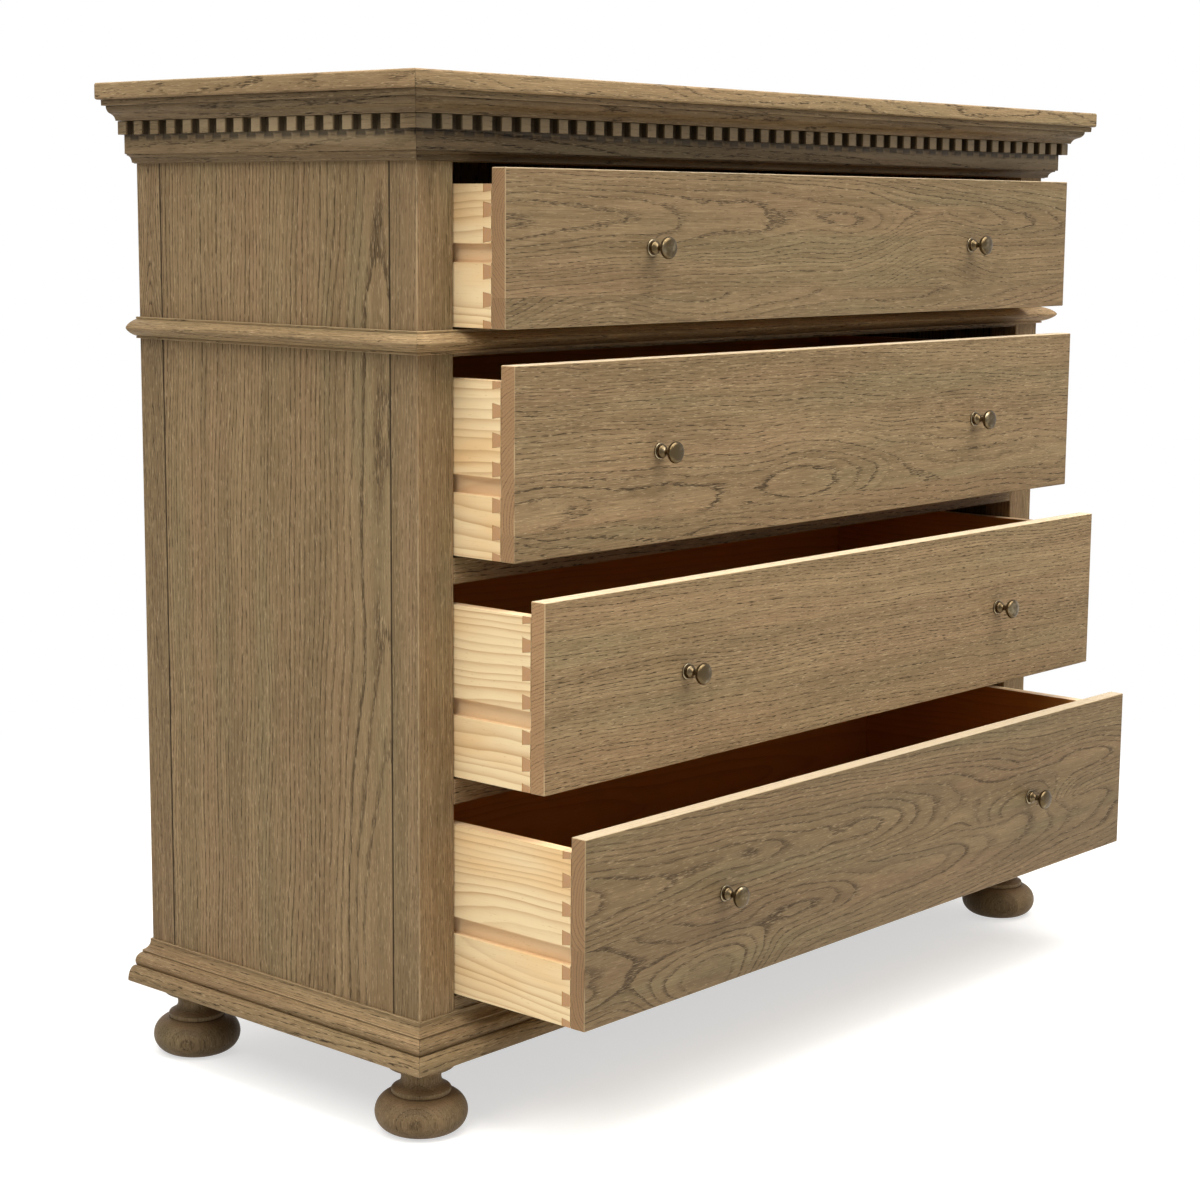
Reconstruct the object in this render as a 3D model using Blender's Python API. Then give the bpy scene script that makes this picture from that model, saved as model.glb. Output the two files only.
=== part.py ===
# Wide chest of four long drawers on bun feet, with a dentil cornice.
#
# Metres, +Z up. +X is the viewer's right, the front faces -Y, and the feet stand on z = 0.
# Every piece is one closed solid. Pieces that touch keep GAP between their faces.
# The drawers stand pulled out by the amounts in DRAWER_OPEN, and each one slides along -Y
# on wooden runners that fit the grooves in its sides.

import math

import bmesh
import bpy
from mathutils import Vector

# Fits
GAP = 0.0003                 # between two faces that touch
MITRE_GAP = 0.00022          # along the run, where two mouldings meet at a corner
RAIL_FIT = 0.0003            # between a rail's end and its post

# Carcass
CARCASS_WIDTH = 1.150
CARCASS_DEPTH = 0.440
POST_WIDTH = 0.0505          # across the front
FRONT_POST_DEPTH = 0.039     # along the side
BACK_POST_DEPTH = 0.040
PANEL_THICKNESS = 0.020
BACK_PANEL_THICKNESS = 0.008
BACK_PANEL_INSET = 0.006     # from the back of the posts
FLOOR_THICKNESS = 0.018
BOTTOM_RAIL_HEIGHT = 0.058
BOTTOM_RAIL_DEPTH = 0.022
RAIL_HEIGHT = 0.027
RAIL_DEPTH = 0.050
TOP_RAIL_DEPTH = 0.020
EDGE_EASE = 0.0009           # chamfer on the arrises of posts, panels and boards

# Top and mouldings: heights, then how far each stands out
TOP_THICKNESS = 0.018
TOP_OVERHANG = 0.051
TOP_BACK_OVERHANG = 0.006
TOP_EASE = 0.0022
CROWN_HEIGHT = 0.022
CROWN_FILLET_OUT = 0.0460
CROWN_STEP_OUT = 0.0400
CROWN_FOOT_OUT = 0.0270
CROWN_SWELL = 0.0011
FRIEZE_HEIGHT = 0.045
FRIEZE_OUT = 0.0155
FRIEZE_BEAD_HEIGHT = 0.0100
DENTIL_HEIGHT = 0.0145
DENTIL_DEPTH = 0.0085
DENTIL_WIDTH = 0.0140
CORNER_BLOCK = 0.0220
WAIST_HEIGHT = 0.0237
WAIST_FILLET_OUT = 0.0046
WAIST_NOSE_OUT = 0.0195
WAIST_NOSE_RADIUS = 0.0028
BASE_HEIGHT = 0.043
BASE_CAVETTO_OUT = 0.0135
BASE_BEAD_OUT = 0.0255
BASE_FOOT_OUT = 0.0362

# Feet
FOOT_HEIGHT = 0.082
FOOT_RADIUS = 0.0493
FOOT_BUN_HEIGHT = 0.0412
FOOT_COLLAR_RADIUS = 0.0310
FOOT_COLLAR_HEIGHT = 0.0055
FOOT_NECK_RADIUS = 0.0212
FOOT_PAD_RADIUS = 0.0360
FOOT_PAD_HEIGHT = 0.0080
FOOT_SIDE_INSET = 0.0190     # foot centre from the carcass side
FOOT_FRONT_INSET = 0.0180
FOOT_BACK_INSET = 0.0540
FOOT_SIDES = 24

# Drawer bays and drawers, from the top one down
BAY_HEIGHTS = (0.1665, 0.2050, 0.2040, 0.2060)
DRAWER_OPEN = (0.0710, 0.0840, 0.1260, 0.1820)
DRAWER_RISE = 0.0022         # under the front
DRAWER_TOP_CLEARANCE = 0.0058
DRAWER_SIDE_CLEARANCE = 0.0013
FRONT_THICKNESS = 0.019
BOX_LENGTH = 0.386
BOX_LIFT = 0.0005            # box over the lower edge of the front
BOX_DROP = 0.0160            # box under the upper edge of the front
BOX_SIDE_THICKNESS = 0.015
BOX_END_THICKNESS = 0.011
BOTTOM_THICKNESS = 0.0056
BOTTOM_GROOVE_DEPTH = 0.005
BOTTOM_GROOVE_HEIGHT = 0.009  # over the lower edge of the box

# Runners
RUNNER_GROOVE_HEIGHT = 0.019
RUNNER_GROOVE_DEPTH = 0.008
RUNNER_GROOVE_RISE = 0.0645  # over the lower edge of the box
RUNNER_PLAY = 0.0017         # under the runner
RUNNER_END_CLEARANCE = 0.0008

# Dovetails
PIN_WIDTH = 0.0140
HALF_PIN = 0.0075
PIN_PITCH = 0.0280
PIN_SLOPE = 1.0 / 6.0
PIN_MARGIN = 0.0016          # between a pin and the runner groove

# Knobs
KNOB_INSET = 0.2220          # from the end of the drawer front
KNOB_LENGTH = 0.0270
KNOB_HEAD_RADIUS = 0.0118
KNOB_HEAD_THICKNESS = 0.0026
KNOB_NECK_RADIUS = 0.0031
KNOB_ROSE_RADIUS = 0.0088
KNOB_ROSE_THICKNESS = 0.0018
KNOB_SIDES = 16

# Levels that follow from the sizes above
CARCASS_BOTTOM = FOOT_HEIGHT + GAP
BAY_BOTTOMS = [0.0] * len(BAY_HEIGHTS)
level = CARCASS_BOTTOM + BOTTOM_RAIL_HEIGHT
for index in reversed(range(len(BAY_HEIGHTS))):
    BAY_BOTTOMS[index] = level
    level += BAY_HEIGHTS[index] + RAIL_HEIGHT
FRIEZE_BOTTOM = BAY_BOTTOMS[0] + BAY_HEIGHTS[0]
CROWN_BOTTOM = FRIEZE_BOTTOM + FRIEZE_HEIGHT
TOP_BOTTOM = CROWN_BOTTOM + CROWN_HEIGHT
POST_TOP = TOP_BOTTOM - GAP

# Places across and along the chest
HALF_WIDTH = CARCASS_WIDTH / 2
POST_INNER = HALF_WIDTH - POST_WIDTH
PANEL_INNER = HALF_WIDTH - PANEL_THICKNESS
DRAWER_HALF = POST_INNER - DRAWER_SIDE_CLEARANCE
FRONT_REACH = max(max(DRAWER_OPEN) + GAP + KNOB_LENGTH, TOP_OVERHANG)
FRONT_Y = (FRONT_REACH - CARCASS_DEPTH - TOP_BACK_OVERHANG) / 2
BACK_Y = FRONT_Y + CARCASS_DEPTH
BACK_PANEL_FRONT = BACK_Y - BACK_PANEL_INSET - BACK_PANEL_THICKNESS


def clear_scene():
    """Remove every object of the scene that is open."""
    for thing in list(bpy.data.objects):
        bpy.data.objects.remove(thing, do_unlink=True)


def wood_or_metal(name, color, roughness, metallic=0.0):
    """One plain surface with the colour of the piece."""
    material = bpy.data.materials.new(name)
    material.use_nodes = True
    shader = material.node_tree.nodes["Principled BSDF"]
    shader.inputs["Base Color"].default_value = (*color, 1.0)
    shader.inputs["Roughness"].default_value = roughness
    shader.inputs["Metallic"].default_value = metallic
    return material


def add_piece(name, bm, material, parent=None, location=(0, 0, 0), rotation=(0, 0, 0), smooth=None):
    """Close the mesh into a named object; smooth is the angle over which edges stay sharp."""
    bmesh.ops.recalc_face_normals(bm, faces=bm.faces[:])
    mesh = bpy.data.meshes.new(name)
    bm.to_mesh(mesh)
    bm.free()
    if smooth is not None:
        mesh.shade_smooth()
        mesh.set_sharp_from_angle(angle=math.radians(smooth))
    piece = bpy.data.objects.new(name, mesh)
    piece.data.materials.append(material)
    piece.location = location
    piece.rotation_euler = rotation
    piece.parent = parent
    bpy.context.scene.collection.objects.link(piece)
    return piece


def arc(center, radii, start, end, steps):
    """Points on an ellipse's arc, in degrees, both ends included."""
    points = []
    for step in range(steps + 1):
        angle = math.radians(start + (end - start) * step / steps)
        points.append((center[0] + radii[0] * math.cos(angle), center[1] + radii[1] * math.sin(angle)))
    return points


def ogee(start, end, swell, steps):
    """Points on a double curve that swells outward first and then hollows."""
    run = Vector(end) - Vector(start)
    side = Vector((-run.y, run.x)).normalized()
    points = []
    for step in range(steps + 1):
        share = step / steps
        point = Vector(start) + run * share + side * swell * math.sin(2 * math.pi * share)
        points.append((point.x, point.y))
    return points


def shared_face(bm, corners, points):
    """A face through the points, which reuses a vertex where one is already there."""
    loop = []
    for point in points:
        key = tuple(round(value, 7) for value in point)
        if key not in corners:
            corners[key] = bm.verts.new(point)
        loop.append(corners[key])
    return bm.faces.new(loop)


def extrude(bm, faces, offset):
    """Pull the faces out by the offset and return the moved faces."""
    region = set(faces)
    for face in faces:
        region.update(face.edges)
    result = bmesh.ops.extrude_face_region(bm, geom=list(region))
    moved = [part for part in result["geom"] if isinstance(part, bmesh.types.BMVert)]
    bmesh.ops.translate(bm, verts=moved, vec=offset)
    return [part for part in result["geom"] if isinstance(part, bmesh.types.BMFace)]


def box_mesh(low, high, ease=0.0, segments=1):
    """A box between two corners, with its edges eased."""
    bm = bmesh.new()
    bmesh.ops.create_cube(bm, size=1.0)
    for vert in bm.verts:
        for axis in range(3):
            vert.co[axis] = low[axis] + (vert.co[axis] + 0.5) * (high[axis] - low[axis])
    if ease:
        bmesh.ops.bevel(bm, geom=bm.edges[:], offset=ease, segments=segments, profile=0.5,
                        affect="EDGES")
    return bm


def turned_mesh(profile, sides):
    """Turn a profile of (radius, height) points, which starts and ends on the axis, round Z."""
    bm = bmesh.new()
    verts = [bm.verts.new((radius, 0.0, height)) for radius, height in profile]
    edges = [bm.edges.new(pair) for pair in zip(verts, verts[1:])]
    bmesh.ops.spin(bm, geom=verts + edges, axis=(0, 0, 1), cent=(0, 0, 0), dvec=(0, 0, 0),
                   angle=2 * math.pi, steps=sides, use_merge=True, use_normal_flip=False,
                   use_duplicate=False)
    bmesh.ops.remove_doubles(bm, verts=bm.verts[:], dist=1e-6)
    return bm


# Mouldings

def moulding_mesh(profile, corner, along, out, length, mitres):
    """Run a closed profile of (out, up) points along a wall, mitred at the ends that ask for it."""
    bm = bmesh.new()
    rows = []
    for end, mitre in enumerate(mitres):
        row = []
        for reach, height in profile:
            place = length * end
            if mitre:
                place += (reach - MITRE_GAP) * (2 * end - 1)
            row.append(bm.verts.new(corner + along * place + out * reach + Vector((0, 0, height))))
        rows.append(row)
    count = len(profile)
    for index in range(count):
        following = (index + 1) % count
        bm.faces.new((rows[0][index], rows[0][following], rows[1][following], rows[1][index]))
    bm.faces.new(rows[0])
    bm.faces.new(rows[1])
    return bm


def slice_faces(bm, faces, place, normal):
    """Cut the faces along the plane through the place."""
    parts = set(faces)
    for face in faces:
        parts.update(face.edges)
        parts.update(face.verts)
    bmesh.ops.bisect_plane(bm, geom=list(parts), plane_co=place, plane_no=normal)


def dentil_band(bm, corner, along, out):
    """Faces that the dentils grow from, in order along the wall."""
    band_bottom = FRIEZE_BOTTOM + FRIEZE_HEIGHT - DENTIL_HEIGHT
    plane = corner.dot(out) + FRIEZE_OUT
    band = [face for face in bm.faces
            if abs(face.calc_center_median().dot(out) - plane) < 1e-6
            and face.calc_center_median().z > band_bottom]
    return sorted(band, key=lambda face: face.calc_center_median().dot(along))


def cut_dentils(bm, corner, along, out, edges, mitres):
    """Slice the band over the frieze at the edges and pull every other slice out as a dentil."""
    for place in edges:
        slice_faces(bm, dentil_band(bm, corner, along, out), corner + along * place, along)
    band = dentil_band(bm, corner, along, out)
    for face in band[::2]:
        low = min(vert.co.dot(along) for vert in face.verts)
        high = max(vert.co.dot(along) for vert in face.verts)
        first = face is band[0] and mitres[0]
        last = face is band[-1] and mitres[1]
        moved = extrude(bm, [face], out * DENTIL_DEPTH)
        if first:
            shift_end(moved, along, low, -DENTIL_DEPTH)
        if last:
            shift_end(moved, along, high, DENTIL_DEPTH)


def shift_end(faces, along, place, offset):
    """Move the end of a corner block along the wall, so that it follows the mitre."""
    for face in faces:
        for vert in face.verts:
            if abs(vert.co.dot(along) - place) < 1e-6:
                vert.co += along * offset


def crown_profile():
    """Fillet under the top, a quirk, and an ogee down to the dentils."""
    low = CROWN_BOTTOM + GAP
    high = TOP_BOTTOM - GAP
    step = high - 0.0082
    points = [(GAP, high), (CROWN_FILLET_OUT, high), (CROWN_FILLET_OUT - 0.0005, step + 0.0026)]
    points += ogee((CROWN_STEP_OUT, step), (CROWN_FOOT_OUT, low + 0.0010), CROWN_SWELL, 8)
    points += [(CROWN_FOOT_OUT, low), (GAP, low)]
    return points


def frieze_profile():
    """Flat frieze with a small fillet and cavetto at its foot, and the dentils' band on top."""
    low = FRIEZE_BOTTOM
    bead = low + FRIEZE_BEAD_HEIGHT
    hollow = arc((FRIEZE_OUT - 0.0010, low + 0.0010), (0.0070, FRIEZE_BEAD_HEIGHT - 0.0023), 90, 180, 4)
    points = [(GAP, low + FRIEZE_HEIGHT), (FRIEZE_OUT, low + FRIEZE_HEIGHT)]
    points += [(FRIEZE_OUT, low + FRIEZE_HEIGHT - DENTIL_HEIGHT), (FRIEZE_OUT, bead)]
    points += hollow
    points += [(0.0030, low + 0.0006), (0.0030, low), (GAP, low)]
    return points


def waist_profile():
    """Pointed thumb between two small fillets."""
    high = BAY_BOTTOMS[0]
    low = high - WAIST_HEIGHT
    fillet = 0.0024
    nose = (WAIST_NOSE_OUT - WAIST_NOSE_RADIUS, low + WAIST_HEIGHT * 0.50)
    points = [(GAP, high), (WAIST_FILLET_OUT, high), (WAIST_FILLET_OUT, high - fillet)]
    points += arc(nose, (WAIST_NOSE_RADIUS, WAIST_NOSE_RADIUS), 62, -62, 6)
    points += [(WAIST_FILLET_OUT, low + fillet), (WAIST_FILLET_OUT, low), (GAP, low)]
    return points


def base_profile():
    """Fillet and cavetto on top, a bead over a quirk, and an ovolo at the foot."""
    low = CARCASS_BOTTOM
    high = low + BASE_HEIGHT
    edge = high - 0.0117
    points = [(GAP, high), (0.0032, high - 0.0004)]
    points += arc((BASE_CAVETTO_OUT, high - 0.0030), (0.0103, 0.0087), 180, 270, 4)
    points += arc((BASE_BEAD_OUT - 0.0105, edge - 0.0100), (0.0105, 0.0085), 90, -36, 6)
    points += arc((BASE_FOOT_OUT - 0.0098, low + 0.0006), (0.0098, 0.0157), 90, 0, 5)
    points += [(BASE_FOOT_OUT, low), (GAP, low)]
    return points


def wall_runs():
    """The three walls that carry mouldings: name, corner, direction, outward, length, mitres."""
    left_corner = Vector((-HALF_WIDTH, FRONT_Y, 0))
    right_corner = Vector((HALF_WIDTH, FRONT_Y, 0))
    return (
        ("front", left_corner, Vector((1, 0, 0)), Vector((0, -1, 0)), CARCASS_WIDTH, (True, True)),
        ("left", left_corner, Vector((0, 1, 0)), Vector((-1, 0, 0)), CARCASS_DEPTH, (True, False)),
        ("right", right_corner, Vector((0, 1, 0)), Vector((1, 0, 0)), CARCASS_DEPTH, (True, False)),
    )


def dentil_edges(length, closed_corner):
    """Where the slots and dentils begin along a wall, after the wide block at its first corner."""
    reach = FRIEZE_OUT + DENTIL_DEPTH
    start = CORNER_BLOCK - reach
    end = length + reach if closed_corner else length
    count = round((end - start) / (2 * DENTIL_WIDTH))
    width = (end - start) / (2 * count)
    return [start + width * step for step in range(2 * count)]


def build_mouldings(material):
    """Crown, frieze with its dentils, waist and base on the front and both sides."""
    kinds = (("crown", crown_profile()), ("waist", waist_profile()), ("base", base_profile()))
    for side, corner, along, out, length, mitres in wall_runs():
        for kind, profile in kinds:
            bm = moulding_mesh(profile, corner, along, out, length, mitres)
            add_piece(f"{kind}_{side}", bm, material, smooth=32)
        bm = moulding_mesh(frieze_profile(), corner, along, out, length, mitres)
        cut_dentils(bm, corner, along, out, dentil_edges(length, mitres[1]), mitres)
        if side == "front":
            grow_top_rail(bm)
        add_piece(f"frieze_{side}", bm, material, smooth=32)


def grow_top_rail(bm):
    """Glue the top rail to the back of the front frieze, between the posts."""
    back = FRONT_Y - GAP
    reach = POST_INNER - RAIL_FIT
    for place in (-reach, reach):
        faces = [face for face in bm.faces if abs(face.calc_center_median().y - back) < 1e-6]
        slice_faces(bm, faces, (place, 0, 0), (1, 0, 0))
    middle = [face for face in bm.faces
              if abs(face.calc_center_median().y - back) < 1e-6
              and abs(face.calc_center_median().x) < reach / 2]
    extrude(bm, middle, Vector((0, GAP + TOP_RAIL_DEPTH, 0)))


# Carcass

def build_top(material):
    """Square-edged top with softened arrises."""
    low = (-HALF_WIDTH - TOP_OVERHANG, FRONT_Y - TOP_OVERHANG, TOP_BOTTOM)
    high = (HALF_WIDTH + TOP_OVERHANG, BACK_Y + TOP_BACK_OVERHANG, TOP_BOTTOM + TOP_THICKNESS)
    add_piece("top", box_mesh(low, high, TOP_EASE, 2), material, smooth=50)


def build_posts(material):
    """Corner posts, whose front and side faces show as stiles."""
    for side, sign in (("left", -1), ("right", 1)):
        inner, outer = sorted((sign * POST_INNER, sign * HALF_WIDTH))
        spans = (("front", FRONT_Y, FRONT_Y + FRONT_POST_DEPTH), ("back", BACK_Y - BACK_POST_DEPTH, BACK_Y))
        for place, near, far in spans:
            bm = box_mesh((inner, near, CARCASS_BOTTOM), (outer, far, POST_TOP), EDGE_EASE)
            add_piece(f"post_{place}_{side}", bm, material)


def runner_span(index):
    """Lower and upper edge of the runner that carries one drawer."""
    box_bottom = BAY_BOTTOMS[index] + DRAWER_RISE + BOX_LIFT
    groove_top = box_bottom + RUNNER_GROOVE_RISE + RUNNER_GROOVE_HEIGHT
    high = groove_top - GAP
    return high - (RUNNER_GROOVE_HEIGHT - GAP - RUNNER_PLAY), high


def build_side_panels(material):
    """Side panels between the posts, each with its four runners glued to the inner face."""
    near = FRONT_Y + FRONT_POST_DEPTH + GAP
    far = BACK_Y - BACK_POST_DEPTH - GAP
    runner_end = DRAWER_HALF - RUNNER_GROOVE_DEPTH + RUNNER_END_CLEARANCE
    for side, sign in (("left", -1), ("right", 1)):
        outer = HALF_WIDTH
        outline = [(outer - EDGE_EASE, CARCASS_BOTTOM), (PANEL_INNER, CARCASS_BOTTOM)]
        for index in reversed(range(len(BAY_HEIGHTS))):
            low, high = runner_span(index)
            outline += [(PANEL_INNER, low), (runner_end, low), (runner_end, high), (PANEL_INNER, high)]
        outline += [(PANEL_INNER, POST_TOP), (outer - EDGE_EASE, POST_TOP)]
        bm = bmesh.new()
        comb = bm.faces.new([bm.verts.new((sign * x, near, z)) for x, z in outline])
        extrude(bm, [comb], Vector((0, far - near, 0)))
        wall = [face for face in bm.faces
                if abs(abs(face.calc_center_median().x) - (outer - EDGE_EASE)) < 1e-6]
        raised = extrude(bm, wall, Vector((sign * EDGE_EASE, 0, 0)))
        for vert in raised[0].verts:
            vert.co.y += EDGE_EASE if vert.co.y < (near + far) / 2 else -EDGE_EASE
        add_piece(f"side_panel_{side}", bm, material)


def build_back_panel(material):
    """Thin back between the back posts."""
    reach = POST_INNER - GAP
    low = (-reach, BACK_PANEL_FRONT, CARCASS_BOTTOM)
    high = (reach, BACK_PANEL_FRONT + BACK_PANEL_THICKNESS, POST_TOP)
    add_piece("back_panel", box_mesh(low, high), material)


def build_rails(material):
    """Rails between the drawers."""
    reach = POST_INNER - RAIL_FIT
    for index, name in ((1, "rail_upper"), (2, "rail_middle"), (3, "rail_lower")):
        low = BAY_BOTTOMS[index] + BAY_HEIGHTS[index]
        bm = box_mesh((-reach, FRONT_Y, low), (reach, FRONT_Y + RAIL_DEPTH, low + RAIL_HEIGHT), EDGE_EASE)
        add_piece(name, bm, material)


def build_floor(material):
    """Floor board, notched round the posts, with the bottom rail along its front edge."""
    post = POST_INNER - RAIL_FIT
    panel = PANEL_INNER - GAP
    rail_back = FRONT_Y + BOTTOM_RAIL_DEPTH
    near = FRONT_Y + FRONT_POST_DEPTH + GAP
    far = BACK_Y - BACK_POST_DEPTH - GAP
    back = BACK_PANEL_FRONT - GAP
    half = [(post, rail_back), (post, near), (panel, near), (panel, far), (post, far), (post, back)]
    board = half + [(-x, y) for x, y in reversed(half)]
    rail = [(-post, FRONT_Y), (post, FRONT_Y), (post, rail_back), (-post, rail_back)]
    bm = bmesh.new()
    corners = {}
    faces = [shared_face(bm, corners, [(x, y, CARCASS_BOTTOM) for x, y in loop]) for loop in (board, rail)]
    raised = extrude(bm, faces, Vector((0, 0, FLOOR_THICKNESS)))
    front = [face for face in raised if face.calc_center_median().y < rail_back]
    extrude(bm, front, Vector((0, 0, BOTTOM_RAIL_HEIGHT - FLOOR_THICKNESS)))
    add_piece("floor_and_bottom_rail", bm, material)


def foot_profile():
    """Flattened bun, collar ring, hollow neck and a round pad under the carcass."""
    bun_middle = FOOT_BUN_HEIGHT / 2
    bun_core = FOOT_RADIUS - 0.0213
    collar_top = FOOT_BUN_HEIGHT + FOOT_COLLAR_HEIGHT
    pad_bottom = FOOT_HEIGHT - FOOT_PAD_HEIGHT
    neck_middle = (collar_top + pad_bottom) / 2
    neck_half = (pad_bottom - collar_top) / 2 - 0.0012
    points = [(0.0, 0.0)]
    points += arc((bun_core, bun_middle), (FOOT_RADIUS - bun_core, bun_middle), -90, 84, 9)
    points += [(FOOT_COLLAR_RADIUS, FOOT_BUN_HEIGHT + 0.0004), (FOOT_COLLAR_RADIUS, collar_top)]
    points += arc((FOOT_NECK_RADIUS + 0.0090, neck_middle), (0.0090, neck_half), 250, 110, 6)
    points += [(FOOT_PAD_RADIUS, pad_bottom), (FOOT_PAD_RADIUS, FOOT_HEIGHT), (0.0, FOOT_HEIGHT)]
    return points


def build_feet(material):
    """Four turned feet."""
    across = HALF_WIDTH - FOOT_SIDE_INSET
    for place, y in (("front", FRONT_Y + FOOT_FRONT_INSET), ("back", BACK_Y - FOOT_BACK_INSET)):
        for side, x in (("left", -across), ("right", across)):
            bm = turned_mesh(foot_profile(), FOOT_SIDES)
            add_piece(f"foot_{place}_{side}", bm, material, location=(x, y, 0), smooth=34)


# Drawers

def front_height(index):
    """Height of one drawer front."""
    return BAY_HEIGHTS[index] - DRAWER_RISE - DRAWER_TOP_CLEARANCE


def box_height(index):
    """Height of the box behind one drawer front."""
    return front_height(index) - BOX_LIFT - BOX_DROP


def pin_spans(height):
    """Lower and upper edge of each pin at half its depth; none reaches the runner groove."""
    groove_top = RUNNER_GROOVE_RISE + RUNNER_GROOVE_HEIGHT + PIN_MARGIN
    groove_bottom = RUNNER_GROOVE_RISE - PIN_MARGIN
    below = max(1, round((groove_bottom - HALF_PIN) / PIN_PITCH))
    spans = [(0.0, HALF_PIN)]
    for step in range(below):
        high = groove_bottom - (below - 1 - step) * (groove_bottom - HALF_PIN) / below
        spans.append((high - PIN_WIDTH, high))
    above = max(1, round((height - HALF_PIN - groove_top) / PIN_PITCH))
    pitch = (height - HALF_PIN - groove_top) / above
    for step in range(above):
        low = groove_top + step * pitch
        spans.append((low, low + PIN_WIDTH))
    spans.append((height - HALF_PIN, height))
    return spans


def side_edge(height, splits):
    """End of a drawer side, bottom to top, as (depth, height): tails reach depth 0."""
    shoulder = BOX_END_THICKNESS + GAP
    flare = PIN_SLOPE * BOX_END_THICKNESS / 2
    spans = pin_spans(height)
    points = []
    for low, high in spans:
        if points:
            tail_start = points[-1][1]
            points += [(0.0, split) for split in splits if tail_start < split < low]
            points += [(0.0, low + flare), (shoulder, low - flare)]
        else:
            points.append((shoulder, 0.0))
        if high < height:
            points += [(shoulder, high + flare), (0.0, high - flare)]
        else:
            points.append((shoulder, height))
    return points


def side_mesh(height, sign):
    """Drawer side: tails at both ends, a groove for the bottom inside and for the runner outside."""
    floor_low = BOTTOM_GROOVE_HEIGHT
    floor_high = floor_low + BOTTOM_THICKNESS + 2 * GAP
    run_low = RUNNER_GROOVE_RISE
    run_high = run_low + RUNNER_GROOVE_HEIGHT
    splits = (floor_low, floor_high, run_low, run_high)
    edge = side_edge(height, splits)
    stops = [0] + [edge.index((0.0, split)) for split in splits] + [len(edge) - 1]
    outer = sign * DRAWER_HALF
    inner = sign * (DRAWER_HALF - BOX_SIDE_THICKNESS)
    plane = inner + sign * BOTTOM_GROOVE_DEPTH
    start = FRONT_THICKNESS + GAP
    bm = bmesh.new()
    corners = {}
    faces = []
    for first, last in zip(stops, stops[1:]):
        part = edge[first:last + 1]
        loop = [(plane, start + depth, z) for depth, z in part]
        loop += [(plane, start + BOX_LENGTH - depth, z) for depth, z in reversed(part)]
        faces.append(shared_face(bm, corners, loop))
    inside = [faces[0], *faces[2:]]
    core = outer - sign * RUNNER_GROOVE_DEPTH - plane
    raised = extrude(bm, faces, Vector((core, 0, 0)))
    groove = (run_low + run_high) / 2
    outside = [face for face in raised if abs(face.calc_center_bounds().z - groove) > 1e-4]
    extrude(bm, outside, Vector((sign * RUNNER_GROOVE_DEPTH, 0, 0)))
    extrude(bm, inside, Vector((inner - plane, 0, 0)))
    return bm


def end_mesh(height, face_y, facing):
    """Front or back board of a drawer box: pins at both ends, a groove for the bottom inside."""
    flare = PIN_SLOPE * BOX_END_THICKNESS / 2
    groove_low = BOTTOM_GROOVE_HEIGHT
    groove_high = groove_low + BOTTOM_THICKNESS + 2 * GAP
    shoulder = DRAWER_HALF - BOX_SIDE_THICKNESS - GAP
    outer = face_y
    inner = face_y + facing * BOX_END_THICKNESS
    notch = inner - facing * BOTTOM_GROOVE_DEPTH
    spans = pin_spans(height)
    bm = bmesh.new()
    corners = {}
    faces = []
    pins = []
    under = [(outer, 0.0), (inner, 0.0)]
    for low, high in spans:
        if low > 0:
            over = [(outer, low + flare + GAP), (inner, low - flare + GAP)]
            step = []
            if under[1][1] < groove_low < over[1][1]:
                step = [(inner, groove_low), (notch, groove_low), (notch, groove_high), (inner, groove_high)]
            loop = [under[0], under[1], *step, over[1], over[0]]
            faces.append(shared_face(bm, corners, [(-shoulder, y, z) for y, z in loop]))
            under = over
        over = [(outer, height), (inner, height)]
        if high < height:
            over = [(outer, high - flare - GAP), (inner, high + flare - GAP)]
        loop = [under[0], under[1], over[1], over[0]]
        faces.append(shared_face(bm, corners, [(-shoulder, y, z) for y, z in loop]))
        pins.append((under[0][1] + over[0][1] + under[1][1] + over[1][1]) / 4)
        under = over
    extrude(bm, faces, Vector((2 * shoulder, 0, 0)))
    for sign in (-1, 1):
        for middle in pins:
            pin = [face for face in bm.faces
                   if abs(face.calc_center_median().x - sign * shoulder) < 1e-6
                   and abs(face.calc_center_median().z - middle) < 1e-4]
            extrude(bm, pin, Vector((sign * (BOX_SIDE_THICKNESS + GAP), 0, 0)))
    return bm


def knob_profile():
    """Stepped rose, thin neck and a flat head with a raised rim."""
    rose = KNOB_ROSE_THICKNESS
    head_back = KNOB_LENGTH - KNOB_HEAD_THICKNESS
    points = [(0.0, 0.0), (KNOB_ROSE_RADIUS, 0.0), (KNOB_ROSE_RADIUS, rose)]
    points += [(KNOB_ROSE_RADIUS * 0.80, rose + 0.0006), (KNOB_ROSE_RADIUS * 0.76, rose + 0.0024)]
    points += arc((KNOB_NECK_RADIUS + 0.0036, rose + 0.0070), (0.0036, 0.0042), 250, 180, 3)
    points += [(KNOB_NECK_RADIUS + 0.0002, head_back - 0.0070)]
    points += arc((KNOB_NECK_RADIUS, head_back), (KNOB_HEAD_RADIUS - KNOB_NECK_RADIUS - 0.0008, 0.0044),
                  -58, -6, 3)
    points += [(KNOB_HEAD_RADIUS, head_back + 0.0006), (KNOB_HEAD_RADIUS, KNOB_LENGTH - 0.0007)]
    points += [(KNOB_HEAD_RADIUS * 0.93, KNOB_LENGTH), (KNOB_HEAD_RADIUS * 0.80, KNOB_LENGTH - 0.0006)]
    points += [(0.0, KNOB_LENGTH - 0.0002)]
    return points


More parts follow.
